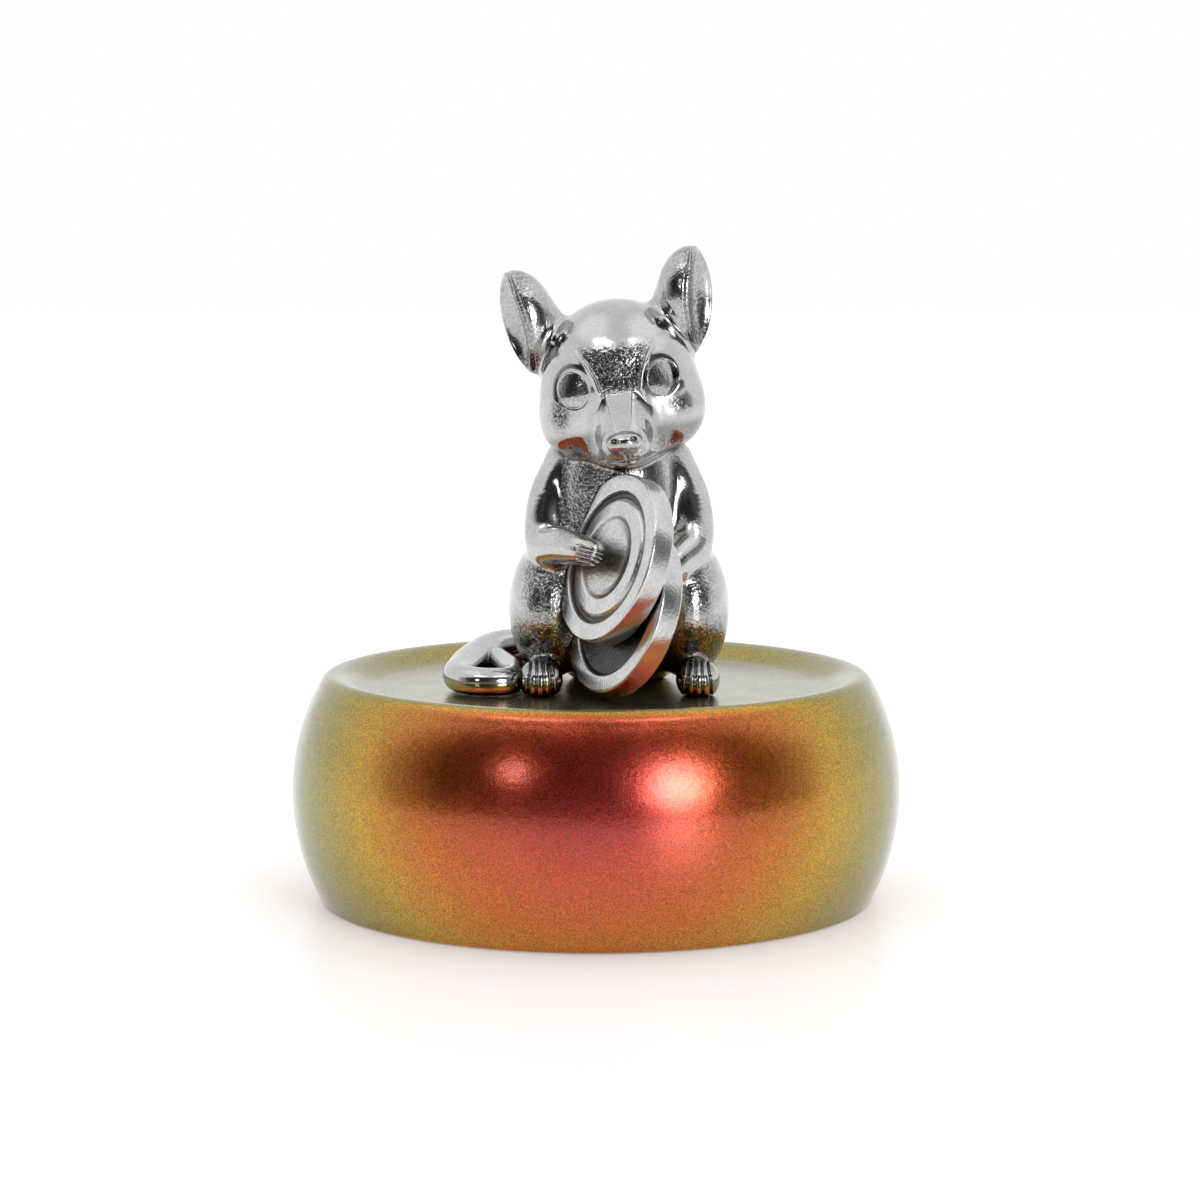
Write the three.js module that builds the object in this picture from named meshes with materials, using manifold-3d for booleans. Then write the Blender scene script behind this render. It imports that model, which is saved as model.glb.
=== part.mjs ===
// A seated rat cast in polished pewter, hugging two thick coins, on a round lacquered base.
// Millimetres, +Z up. The rat faces -Y and the origin is the middle of the underside.
// Left and right are the viewer's, looking the rat in the face.

import * as THREE from "three";
import { mergeVertices } from "three/addons/utils/BufferGeometryUtils.js";
import Module from "manifold-3d";

const wasm = await Module();
wasm.setup();

// Clearances
const SOLDER_GAP = 0.3; // between one casting and the next
const SCREW_GAP = 0.2; // around a screw or washer, on the radius

// Base, turned from solid wood
const BASE_DIAMETER = 80; // at the fattest part of the barrel
const BASE_HEIGHT = 29.4; // underside of the wood to the crest of the rim
const BARREL_ARC = 29.5; // radius of the barrel side
const BARREL_CENTRE = 13.9; // height of the fattest part above the underside
const FOOT_CHAMFER = 0.6; // broken edge around the underside
const LIP_DROP = 1.5; // height of the rounded outer lip
const CREST_DIAMETER = 69.2; // the highest ring of the rim
const DISH_DEPTH = 2; // crest down to the floor of the dish
const DISH_DIAMETER = 62; // flat floor of the dish

// Pad under the base
const PAD_DIAMETER = 60;
const PAD_THICKNESS = 1.4;
const PAD_PROUD = 0.4; // how far it stands below the wood

// Screws and washers, up through the base into the body
const SCREW_DIAMETER = 3;
const SCREW_LENGTH = 18; // below the head
const SCREW_BITE = 6; // length inside the body
const SCREW_HEAD_DIAMETER = 6;
const SCREW_HEAD_HEIGHT = 2.2;
const SLOT_WIDTH = 0.9;
const SLOT_DEPTH = 1.1;
const WASHER_DIAMETER = 7;
const WASHER_THICKNESS = 0.6;
const SCREW_SPACING = 8; // between the two screws
const SCREW_BACK = 8; // behind the middle of the figure

// Where the figure sits on the base
const FIGURE_RIGHT = 3; // to the right of the base's middle
const FIGURE_BACK = 0;

// Torso: a belly, a chest above it, a back and rump behind and two haunches
const BELLY_WIDTH = 21;
const BELLY_DEPTH = 20;
const BELLY_HEIGHT = 23;
const BELLY_CLEAR = 1.5; // the belly hangs this far above the floor
const BELLY_BACK = 2.2;
const CHEST_WIDTH = 17;
const CHEST_DEPTH = 15.5;
const CHEST_HEIGHT = 19;
const CHEST_RISE = 11; // chest centre above the belly centre
const CHEST_BACK = 0.8;
const RUMP_WIDTH = 19;
const RUMP_DEPTH = 15;
const RUMP_HEIGHT = 15;
const RUMP_BACK = 8;
const RUMP_RISE = 5.8; // rump centre above the floor
const HAUNCH_WIDTH = 11;
const HAUNCH_DEPTH = 17.4;
const HAUNCH_HEIGHT = 18.6;
const HAUNCH_SPREAD = 18; // between the two haunch centres
const HAUNCH_RISE = 10.3; // haunch centre above the floor
const HAUNCH_FORWARD = -0.6;
const BACK_WIDTH = 18;
const BACK_DEPTH = 16;
const BACK_HEIGHT = 27;
const BACK_BACK = 4.4;
const BACK_RISE = 17;
const NECK_DIAMETER = 12.5;
const BODY_BLEND = 4.5; // how far one lobe of the torso melts into the next

// Head, a near round ball with cheeks, brow, muzzle, nose and chin
const HEAD_RISE = 15.9; // head centre above the chest centre
const HEAD_FORWARD = 1.4; // head centre in front of the chest centre
const HEAD_ROLL = 8; // degrees, right ear raised
const HEAD_YAW = 1.6; // degrees, nose towards the left
const SKULL_WIDTH = 20.4;
const SKULL_DEPTH = 20;
const SKULL_HEIGHT = 21;
const CHEEK_DIAMETER = 11.4;
const CHEEK_SPREAD = 10.2;
const CHEEK_FORWARD = 2.8;
const CHEEK_DROP = 3.6;
const MUZZLE_WIDTH = 9;
const MUZZLE_LENGTH = 12;
const MUZZLE_HEIGHT = 8.4;
const MUZZLE_FORWARD = 7.6;
const MUZZLE_DROP = 5.6;
const CHIN_WIDTH = 9;
const CHIN_FORWARD = 5.6;
const CHIN_DROP = 8;
const NOSE_WIDTH = 4.6;
const NOSE_HEIGHT = 2.8;
const NOSE_DROP = 6.6;
const HEAD_BLEND = 2.4;
const SPIGOT_DIAMETER = 6; // the head's peg in the body
const SPIGOT_LENGTH = 6;

// Eyes, domes cast in one with the head, each inside a lower raised lid
const EYE_WIDTH = 4.1;
const EYE_HEIGHT = 4.7;
const EYE_SPREAD = 11.4; // between the two eye centres
const EYE_RISE = 0.45; // above the head centre
const EYE_BULGE = 1.1; // how far the dome stands out of the head
const LID_MARGIN = 0.9; // from the dome's edge to the lid's outer edge
const LID_BULGE = 0.6; // how far the lid stands out of the head

// Ears, thin cups that open outwards and a little forwards
const EAR_LENGTH = 13.6;
const EAR_WIDTH = 9.8;
const EAR_DEPTH = 9.4; // whole depth of the egg that the cup is cut from
const EAR_WALL = 1;
const EAR_SPREAD = 22.8; // between the middles of the two openings
const EAR_RISE = 9.6; // middle of the opening above the head centre
const EAR_BACK = 1.2;
const EAR_TURN = 26; // degrees, the opening turned forwards from straight outwards
const EAR_LEAN = 7; // degrees, the tip outwards
const EAR_ROOT_WIDTH = 6.6; // the fleshy root between the cup and the head
const EAR_ROOT_LENGTH = 9;
const EAR_ROOT_DEPTH = 7;
const EAR_PEG_DIAMETER = 2;
const EAR_PEG_LENGTH = 2.4; // inside the head

// Coins, face turned to the left, forwards and a little up
const COIN_DIAMETER = 22;
const COIN_THICKNESS = 3;
const COIN_RIM = 2.4; // width of the flat rim
const COIN_GROOVE = 0.8; // depth of the step inside the rim
const COIN_STEP = 0.5; // slope of the step, on the radius
const COIN_DOME_DIAMETER = 14;
const COIN_DOME = 1.6; // height of the front coin's dome above its groove
const COIN_TURN = 61; // degrees, from facing forwards round to the left
const COIN_TILT = 17.5; // degrees, face turned up
const COIN_LEFT = 1.75; // face of the front coin, left of the figure's middle
const COIN_REACH = 5.7; // its centre in front of the belly
const COIN_RISE = 5.5; // its centre above the belly centre
const COIN_SLIDE = 6; // the rear coin lies this much lower in its plane

// Arms
const ARM_SHOULDER_DIAMETER = 6;
const ARM_ELBOW_DIAMETER = 5.4;
const ARM_WRIST_DIAMETER = 2.8;
const SHOULDER_SPREAD = 13.4;
const SHOULDER_RISE = 5.6; // above the chest centre
const ELBOW_SPREAD = 18.8;
const ELBOW_DROP = 4.8; // below the chest centre
const ELBOW_FORWARD = 4.2;
const FINGER_DIAMETER = 1.1;
const FINGER_LENGTH = 2.6;
const FINGER_SPREAD = 0.85; // from one finger to the next
const FINGERS = 4;

// Hind feet
const FOOT_WIDTH = 5.4;
const FOOT_LENGTH = 10;
const FOOT_HEIGHT = 6;
const FOOT_SPREAD = 20.3;
const FOOT_FORWARD = 7.2; // middle of the foot in front of the figure's middle
const TOE_LENGTH = 4;
const TOES = 4;
const SOLE_SHARE = 0.34; // middle of the foot above the floor, as a share of its height

// Tail
const TAIL_ROOT_DIAMETER = 4.2;
const TAIL_TIP_DIAMETER = 2.2;

// Mesh fineness
const ROUND = 42; // facets around the base
const SMALL_ROUND = 16; // facets around screws and pegs
const COIN_ROUND = 32;
const HEAD_FINE = 9;
const BODY_FINE = 7;
const EAR_FINE = 3;
const FOOT_FINE = 4;

// Heights and places that follow from the sizes above
const WOOD_TOP = PAD_PROUD + BASE_HEIGHT;
const FLOOR = WOOD_TOP - DISH_DEPTH;
const BELLY_RISE = BELLY_CLEAR + BELLY_HEIGHT / 2;
const CHEST_Z = BELLY_RISE + CHEST_RISE;
const HEAD_Z = CHEST_Z + HEAD_RISE;
const HEAD_Y = CHEST_BACK - HEAD_FORWARD;
const BELLY_FRONT = BELLY_BACK - BELLY_DEPTH / 2;

const X_AXIS = new THREE.Vector3(1, 0, 0);
const Y_AXIS = new THREE.Vector3(0, 1, 0);
const Z_AXIS = new THREE.Vector3(0, 0, 1);
const radians = THREE.MathUtils.degToRad;
const vector = (x, y, z) => new THREE.Vector3(x, y, z);
const SIDES = { left: -1, right: 1 };

// Solids

/** A closed geometry as a solid that can be added to and cut. */
function solidFrom(geometry) {
  const bare = geometry.clone();
  bare.deleteAttribute("normal");
  bare.deleteAttribute("uv");
  const welded = mergeVertices(bare, 1e-4);
  const corners = welded.index.array;
  const triangles = [];
  for (let i = 0; i < corners.length; i += 3) {
    const [a, b, c] = [corners[i], corners[i + 1], corners[i + 2]];
    if (a !== b && b !== c && c !== a) triangles.push(a, b, c);
  }
  const solid = wasm.Manifold.ofMesh(new wasm.Mesh({
    numProp: 3,
    vertProperties: Float32Array.from(welded.attributes.position.array),
    triVerts: Uint32Array.from(triangles),
  }));
  return solid;
}

/** A solid as a geometry for a mesh. */
function geometryFrom(solid) {
  const mesh = solid.getMesh();
  const geometry = new THREE.BufferGeometry();
  const places = new Float32Array(mesh.numVert * 3);
  for (let i = 0; i < mesh.numVert; i += 1) {
    for (let k = 0; k < 3; k += 1) places[i * 3 + k] = mesh.vertProperties[i * mesh.numProp + k];
  }
  geometry.setAttribute("position", new THREE.BufferAttribute(places, 3));
  geometry.setIndex(new THREE.BufferAttribute(Uint32Array.from(mesh.triVerts), 1));
  const creased = geometry.toNonIndexed();
  creased.computeVertexNormals();
  return creased;
}

/** A turned solid about +Z from a profile of [radius, height] points, foot of the axis first. */
function turned(profile, facets) {
  const points = profile.map(([radius, height]) => new THREE.Vector2(radius, height));
  return solidFrom(new THREE.LatheGeometry(points, facets).rotateX(Math.PI / 2));
}

/** A plain cylinder about +Z, standing from one height to another. */
function cylinder(radius, from, to, facets = SMALL_ROUND) {
  return turned([[0, from], [radius, from], [radius, to], [0, to]], facets);
}

/** A solid moved by a three.js matrix. */
function moved(solid, matrix) {
  return solid.transform(matrix.toArray());
}

/** A matrix that stands +Z along a direction at a place. */
function standing(place, direction) {
  const turn = new THREE.Quaternion().setFromUnitVectors(Z_AXIS, direction.clone().normalize());
  return new THREE.Matrix4().compose(place, turn, vector(1, 1, 1));
}

/** Everything below the dish floor, for soles and seats that stand flat on it. */
function belowFloor() {
  const size = BASE_DIAMETER;
  return solidFrom(new THREE.BoxGeometry(size, size, size).translate(0, 0, -size / 2));
}

/** Keeps the largest body of a solid, without slivers left by a cut. */
function largest(solid) {
  const bodies = solid.decompose();
  bodies.sort((one, other) => other.volume() - one.volume());
  return bodies[0];
}

// Modelled forms: egg-shaped lobes that melt into one another

const lobe = (x, y, z, width, depth, height) => ({
  centre: vector(x, y, z),
  radii: vector(width / 2, depth / 2, height / 2),
});

/** Roughly how far a point lies outside a lobe; negative inside. */
function outsideLobe(egg, point) {
  const offset = point.clone().sub(egg.centre);
  const once = offset.clone().divide(egg.radii);
  const reach = once.length();
  const slope = once.divide(egg.radii).length();
  if (slope < 1e-9) return -Math.min(egg.radii.x, egg.radii.y, egg.radii.z);
  return (reach * (reach - 1)) / slope;
}

function softMin(a, b, blend) {
  const share = Math.max(blend - Math.abs(a - b), 0) / blend;
  return Math.min(a, b) - (share * share * blend) / 4;
}

/** How far a point lies outside a whole form: lobes melted together, then beads set on them. */
function outsideForm(form, point) {
  let gap = Infinity;
  for (const egg of form.lobes) {
    const one = outsideLobe(egg, point);
    gap = gap === Infinity ? one : softMin(gap, one, form.blend);
  }
  for (const egg of form.beads ?? []) gap = Math.min(gap, outsideLobe(egg, point));
  return gap;
}

/** Walks in from outside along a ray until it meets the form, swollen by a margin. */
function meetForm(form, from, direction, margin = 0) {
  const point = from.clone();
  for (let step = 0; step < 200; step += 1) {
    const gap = outsideForm(form, point) - margin;
    if (gap < 1e-4) break;
    point.addScaledVector(direction, gap * 0.8);
  }
  return point;
}

/** The skin of a form as a solid: an even ball of facets drawn in until it meets the form. */
function skin(form, fineness, margin = 0) {
  const ball = new THREE.IcosahedronGeometry(1, fineness);
  ball.deleteAttribute("normal");
  ball.deleteAttribute("uv");
  const geometry = mergeVertices(ball, 1e-5);
  const places = geometry.attributes.position;
  const reach = 40;
  for (let i = 0; i < places.count; i += 1) {
    const outward = vector(places.getX(i), places.getY(i), places.getZ(i)).normalize();
    const start = form.core.clone().addScaledVector(outward, reach);
    const met = meetForm(form, start, outward.clone().negate(), margin);
    places.setXYZ(i, met.x, met.y, met.z);
  }
  return solidFrom(geometry);
}

/** A limb: a tapering round rod along a smooth line through points, with rounded ends. */
function limb(points, diameters, sides, rings, margin = 0) {
  const line = new THREE.CatmullRomCurve3(points, false, "centripetal");
  const frames = line.computeFrenetFrames(rings, false);
  const capRings = 3;
  const stations = [];
  const diameterAt = (t) => {
    const place = t * (diameters.length - 1);
    const before = Math.min(Math.floor(place), diameters.length - 2);
    return THREE.MathUtils.lerp(diameters[before], diameters[before + 1], place - before);
  };
  const station = (ring, along, share) => {
    const t = ring / rings;
    const radius = diameterAt(t) / 2 + margin;
    const middle = line.getPointAt(t).addScaledVector(frames.tangents[ring], along * radius);
    stations.push({ middle, radius: radius * share, ring });
  };
  for (let cap = capRings - 1; cap > 0; cap -= 1) {
    const angle = (cap / capRings) * (Math.PI / 2);
    station(0, -Math.sin(angle), Math.cos(angle));
  }
  for (let ring = 0; ring <= rings; ring += 1) station(ring, 0, 1);
  for (let cap = 1; cap < capRings; cap += 1) {
    const angle = (cap / capRings) * (Math.PI / 2);
    station(rings, Math.sin(angle), Math.cos(angle));
  }
  const places = [];
  for (const { middle, radius, ring } of stations) {
    for (let side = 0; side < sides; side += 1) {
      const angle = (side / sides) * Math.PI * 2;
      const place = middle.clone()
        .addScaledVector(frames.normals[ring], radius * Math.cos(angle))
        .addScaledVector(frames.binormals[ring], radius * Math.sin(angle));
      places.push(place.x, place.y, place.z);
    }
  }
  const tipAt = (ring, along) => {
    const radius = diameterAt(ring / rings) / 2 + margin;
    return line.getPointAt(ring / rings).addScaledVector(frames.tangents[ring], along * radius);
  };
  places.push(...tipAt(0, -1).toArray(), ...tipAt(rings, 1).toArray());
  const firstTip = stations.length * sides;
  const lastTip = firstTip + 1;
  const triangles = [];
  for (let row = 0; row + 1 < stations.length; row += 1) {
    for (let side = 0; side < sides; side += 1) {
      const next = (side + 1) % sides;
      const [a, b] = [row * sides + side, row * sides + next];
      const [c, d] = [a + sides, b + sides];
      triangles.push(a, b, d, a, d, c);
    }
  }
  const lastRow = (stations.length - 1) * sides;
  for (let side = 0; side < sides; side += 1) {
    const next = (side + 1) % sides;
    triangles.push(firstTip, next, side);
    triangles.push(lastTip, lastRow + side, lastRow + next);
  }
  const geometry = new THREE.BufferGeometry();
  geometry.setAttribute("position", new THREE.Float32BufferAttribute(places, 3));
  geometry.setIndex(triangles);
  return solidFrom(geometry);
}

// Base

function arcPoints(centre, radius, from, to, count) {
  const points = [];
  for (let i = 0; i <= count; i += 1) {
    const angle = THREE.MathUtils.lerp(from, to, i / count);
    points.push([centre[0] + radius * Math.cos(angle), centre[1] + radius * Math.sin(angle)]);
  }
  return points;
}

const barrelCentre = [BASE_DIAMETER / 2 - BARREL_ARC, PAD_PROUD + BARREL_CENTRE];
const barrelAngle = (height) => Math.asin((height - barrelCentre[1]) / BARREL_ARC);
const screwSeat = FLOOR - (SCREW_LENGTH - SCREW_BITE - WASHER_THICKNESS - SCREW_GAP * 2);
const padTop = PAD_THICKNESS + SCREW_GAP;

function screwPlaces() {
  return Object.entries(SIDES).map(([name, side]) => ({
    name,
    x: FIGURE_RIGHT + (side * SCREW_SPACING) / 2,
    y: FIGURE_BACK + SCREW_BACK,
  }));
}

function buildBase() {
  const barrel = arcPoints(
    barrelCentre,
    BARREL_ARC,
    barrelAngle(PAD_PROUD + FOOT_CHAMFER),
    barrelAngle(WOOD_TOP - LIP_DROP),
    9,
  );
  const lipStart = new THREE.Vector2(...barrel[barrel.length - 1]);
  const crest = new THREE.Vector2(CREST_DIAMETER / 2, WOOD_TOP);
  const lipCorner = new THREE.Vector2(lipStart.x - LIP_DROP * 0.45, WOOD_TOP);
  const lip = new THREE.QuadraticBezierCurve(lipStart, lipCorner, crest);
  const lipPoints = lip.getPoints(3).slice(1).map((point) => [point.x, point.y]);
  const covePoints = [];
  const coveSteps = 5;
  for (let i = 1; i <= coveSteps; i += 1) {
    const share = i / coveSteps;
    const radius = THREE.MathUtils.lerp(CREST_DIAMETER, DISH_DIAMETER, share) / 2;
    covePoints.push([radius, WOOD_TOP - (DISH_DEPTH * (1 - Math.cos(Math.PI * share))) / 2]);
  }
  covePoints[coveSteps - 1][1] = FLOOR;
  const recessRadius = PAD_DIAMETER / 2 + SCREW_GAP;
  let wood = turned([
    [0, padTop],
    [recessRadius, padTop],
    [recessRadius, PAD_PROUD],
    [barrel[0][0] - FOOT_CHAMFER, PAD_PROUD],
    ...barrel,
    ...lipPoints,
    ...covePoints,
    [0, FLOOR],
  ], ROUND);
  for (const place of screwPlaces()) {
    const hole = cylinder(SCREW_DIAMETER / 2 + SCREW_GAP, 0, WOOD_TOP);
    const pocket = cylinder(WASHER_DIAMETER / 2 + SCREW_GAP, 0, screwSeat);
    wood = wood.subtract(hole.add(pocket).translate(place.x, place.y, 0));
  }
  return wood;
}

const screwHeadTop = screwSeat - WASHER_THICKNESS - SCREW_GAP * 2;

function buildScrew() {
  const head = SCREW_HEAD_DIAMETER / 2;
  const shank = SCREW_DIAMETER / 2;
  const top = screwHeadTop + SCREW_LENGTH;
  const bottom = screwHeadTop - SCREW_HEAD_HEIGHT;
  const edge = SCREW_HEAD_HEIGHT / 3;
  const point = SCREW_DIAMETER / 6;
  const screw = turned([
    [0, bottom],
    [head - edge, bottom],
    [head, bottom + edge],
    [head, screwHeadTop],
    [shank, screwHeadTop],
    [shank, top - point],
    [shank - point, top],
    [0, top],
  ], SMALL_ROUND);
  const slot = new THREE.BoxGeometry(SCREW_HEAD_DIAMETER * 2, SLOT_WIDTH, SLOT_DEPTH * 2);
  return screw.subtract(solidFrom(slot.translate(0, 0, bottom)));
}

function buildWasher() {
  const top = screwSeat - SCREW_GAP;
  const bottom = top - WASHER_THICKNESS;
  const ring = cylinder(WASHER_DIAMETER / 2, bottom, top);
  return ring.subtract(cylinder(SCREW_DIAMETER / 2 + SCREW_GAP, bottom - 1, top + 1));
}

// Coins

const coinFacing = vector(
  -Math.sin(radians(COIN_TURN)) * Math.cos(radians(COIN_TILT)),
  -Math.cos(radians(COIN_TURN)) * Math.cos(radians(COIN_TILT)),
  Math.sin(radians(COIN_TILT)),
);
const coinDown = Z_AXIS.clone().negate().addScaledVector(coinFacing, coinFacing.z).normalize();
const frontCoinFace = vector(-COIN_LEFT, BELLY_FRONT - COIN_REACH, BELLY_RISE + COIN_RISE);
const rearCoinFace = frontCoinFace.clone()
  .addScaledVector(coinFacing, -(COIN_THICKNESS + SOLDER_GAP))
  .addScaledVector(coinDown, COIN_SLIDE);

/** A coin about +Z with its front rim at height 0, swollen all over by a margin. */
function buildCoin(dome, margin = 0) {
  const outer = COIN_DIAMETER / 2 + margin;
  const recess = COIN_DIAMETER / 2 - COIN_RIM - margin;
  const groove = margin - COIN_GROOVE;
  const round = 0.35;
  const domePoints = [];
  const domeSteps = 4;
  for (let i = 0; i <= domeSteps; i += 1) {
    const share = i / domeSteps;
    const height = dome * (1 - (1 - share) * (1 - share));
    domePoints.push([(COIN_DOME_DIAMETER / 2) * (1 - share), groove + height]);
  }
  domePoints[domeSteps][0] = 0;
  const back = -COIN_THICKNESS - margin;
  return turned([
    [0, back + COIN_GROOVE],
    [recess - COIN_STEP, back + COIN_GROOVE],
    [recess, back],
    [outer - round, back],
    [outer, back + round],
    [outer, margin - round],
    [outer - round, margin],
    [recess, margin],
    [recess - COIN_STEP, groove],
    ...domePoints,
  ], COIN_ROUND);
}

const frontCoinStand = standing(frontCoinFace, coinFacing);
const rearCoinStand = standing(rearCoinFace, coinFacing);

// Head and ears, about the head's own centre

function faceForm() {
  const lobes = [
    lobe(0, 0.4, 0.5, SKULL_WIDTH, SKULL_DEPTH, SKULL_HEIGHT),
    lobe(0, -MUZZLE_FORWARD, -MUZZLE_DROP, MUZZLE_WIDTH, MUZZLE_LENGTH, MUZZLE_HEIGHT),
    lobe(0, -CHIN_FORWARD, -CHIN_DROP, CHIN_WIDTH, CHIN_WIDTH, CHIN_WIDTH * 0.62),
  ];
  for (const side of Object.values(SIDES)) {
    const x = (side * CHEEK_SPREAD) / 2;
    lobes.push(lobe(x, -CHEEK_FORWARD, -CHEEK_DROP, CHEEK_DIAMETER, CHEEK_DIAMETER, CHEEK_DIAMETER));
  }
  const form = { lobes, blend: HEAD_BLEND, core: vector(0, -1, -1), beads: [] };
  for (const side of Object.values(SIDES)) {
    const before = vector((side * EYE_SPREAD) / 2, -40, EYE_RISE);
    const seat = meetForm({ ...form, beads: [] }, before, Y_AXIS);
    const inward = form.core.clone().sub(seat).normalize();
    for (const [margin, bulge] of [[LID_MARGIN, LID_BULGE], [0, EYE_BULGE]]) {
      const width = EYE_WIDTH + margin * 2;
      const middle = seat.clone().addScaledVector(inward, width / 2 - bulge);
      const height = EYE_HEIGHT + margin * 2;
      form.beads.push(lobe(middle.x, middle.y, middle.z, width, width, height));
    }
  }
  const noseFront = -MUZZLE_FORWARD - MUZZLE_LENGTH / 2;
  form.beads.push(lobe(0, noseFront + 1, -NOSE_DROP, NOSE_WIDTH, NOSE_HEIGHT, NOSE_HEIGHT));
  return form;
}

const face = faceForm();
const headStand = new THREE.Matrix4().compose(
  vector(0, HEAD_Y, HEAD_Z),
  new THREE.Quaternion().setFromEuler(
    new THREE.Euler(0, -radians(HEAD_ROLL), -radians(HEAD_YAW), "YZX"),
  ),
  vector(1, 1, 1),
);
const headLift = headStand.clone().invert();

function earFrame(side) {
  const outward = vector(
    side * Math.cos(radians(EAR_TURN)),
    -Math.sin(radians(EAR_TURN)),
    0,
  );
  const along = vector(side * Math.sin(radians(EAR_LEAN)), 0, Math.cos(radians(EAR_LEAN)));
  const across = along.clone().cross(outward).normalize();
  const facing = across.clone().cross(along).normalize();
  const place = vector((side * EAR_SPREAD) / 2, EAR_BACK, EAR_RISE);
  const matrix = new THREE.Matrix4().makeBasis(across, along, facing).setPosition(place);
  return { place, along, facing, matrix };
}

/** The egg that an ear is cut from: width across the opening, length along it, depth through it. */
function earEgg(wall) {
  return solidFrom(new THREE.IcosahedronGeometry(1, EAR_FINE).scale(
    EAR_WIDTH / 2 - wall,
    EAR_LENGTH / 2 - wall,
    EAR_DEPTH / 2 - wall,
  ));
}

function buildEar(side) {
  const frame = earFrame(side);
  const big = EAR_LENGTH * 2;
  const before = new THREE.BoxGeometry(big, big, big).translate(0, 0, big / 2);
  const root = new THREE.IcosahedronGeometry(1, EAR_FINE)
    .scale(EAR_ROOT_WIDTH / 2, EAR_ROOT_LENGTH / 2, EAR_ROOT_DEPTH / 2)
    .translate(0, -EAR_LENGTH / 5, -EAR_DEPTH / 3);
  const cup = earEgg(0).add(solidFrom(root)).subtract(earEgg(EAR_WALL));
  return moved(cup.subtract(solidFrom(before)), frame.matrix);
}

/** The peg that locates an ear: from the back of its cup towards the middle of the head. */
function earPeg(side, margin) {
  const frame = earFrame(side);
  const down = 0.15; // share of the half length, from the middle of the cup to the peg
  const behind = (EAR_DEPTH / 2) * Math.sqrt(1 - down * down) - EAR_WALL / 2;
  const root = frame.place.clone()
    .addScaledVector(frame.facing, -behind)
    .addScaledVector(frame.along, (-down * EAR_LENGTH) / 2);
  const inward = face.core.clone().sub(root).normalize();
  const seat = meetForm(face, root, inward);
  const length = seat.distanceTo(root) + EAR_PEG_LENGTH + margin;
  const peg = cylinder(EAR_PEG_DIAMETER / 2 + margin, 0, length);
  return moved(peg, standing(root, inward));
}

function buildHeadGroup(coinSpace) {
  let head = skin(face, HEAD_FINE);
  const headSpace = skin(face, HEAD_FINE, SOLDER_GAP);
  const ears = {};
  for (const [name, side] of Object.entries(SIDES)) {
    const cup = largest(buildEar(side).subtract(headSpace));
    ears[name] = cup.add(earPeg(side, 0));
    head = head.subtract(earPeg(side, SOLDER_GAP));
  }
  const spigot = moved(cylinder(SPIGOT_DIAMETER / 2, -spigotDepth, 0), spigotStand);
  head = head.add(moved(spigot, headLift)).subtract(moved(coinSpace, headLift));
  return { head: largest(head), ears };
}

// Body and limbs, about the middle of the figure on the dish floor

const spigotDepth = SKULL_HEIGHT / 2 + SPIGOT_LENGTH;
const spigotStand = new THREE.Matrix4().setPosition(0, CHEST_BACK, HEAD_Z);

function bodyForm() {
  const lobes = [
    lobe(0, BELLY_BACK, BELLY_RISE, BELLY_WIDTH, BELLY_DEPTH, BELLY_HEIGHT),
    lobe(0, CHEST_BACK, CHEST_Z, CHEST_WIDTH, CHEST_DEPTH, CHEST_HEIGHT),
    lobe(0, RUMP_BACK, RUMP_RISE, RUMP_WIDTH, RUMP_DEPTH, RUMP_HEIGHT),
    lobe(0, BACK_BACK, BACK_RISE, BACK_WIDTH, BACK_DEPTH, BACK_HEIGHT),
    lobe(0, CHEST_BACK, CHEST_Z + CHEST_HEIGHT / 3, NECK_DIAMETER, NECK_DIAMETER, NECK_DIAMETER),
  ];
  for (const side of Object.values(SIDES)) {
    const x = (side * HAUNCH_SPREAD) / 2;
    lobes.push(lobe(x, -HAUNCH_FORWARD, HAUNCH_RISE, HAUNCH_WIDTH, HAUNCH_DEPTH, HAUNCH_HEIGHT));
  }
  return { lobes, blend: BODY_BLEND, core: vector(0, BELLY_BACK, BELLY_RISE) };
}

function armLine(side) {
  const shoulder = vector((side * SHOULDER_SPREAD) / 2, CHEST_BACK, CHEST_Z + SHOULDER_RISE);
  const elbow = vector((side * ELBOW_SPREAD) / 2, CHEST_BACK - ELBOW_FORWARD, CHEST_Z - ELBOW_DROP);
  const upper = shoulder.clone().lerp(elbow, 0.5).add(vector(side * 0.9, 0.6, 0));
  const onFront = side === SIDES.left;
  const coin = onFront ? frontCoinFace : rearCoinFace;
  const dome = COIN_DOME - COIN_GROOVE;
  const stand = onFront
    ? dome + FINGER_DIAMETER / 2
    : -(COIN_THICKNESS + ARM_WRIST_DIAMETER / 2 + SOLDER_GAP);
  const paw = coin.clone().addScaledVector(coinFacing, stand);
  if (!onFront) paw.addScaledVector(coinDown, -COIN_DIAMETER / 5);
  const reach = paw.clone().sub(elbow).normalize();
  const wrist = paw.clone().addScaledVector(reach, -FINGER_LENGTH)
    .addScaledVector(coinFacing, onFront ? ARM_WRIST_DIAMETER / 3 : 0);
  const fore = elbow.clone().lerp(wrist, 0.55).addScaledVector(coinFacing, onFront ? 0.5 : 0);
  return { points: [shoulder, upper, elbow, fore, wrist], paw, wrist };
}

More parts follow.
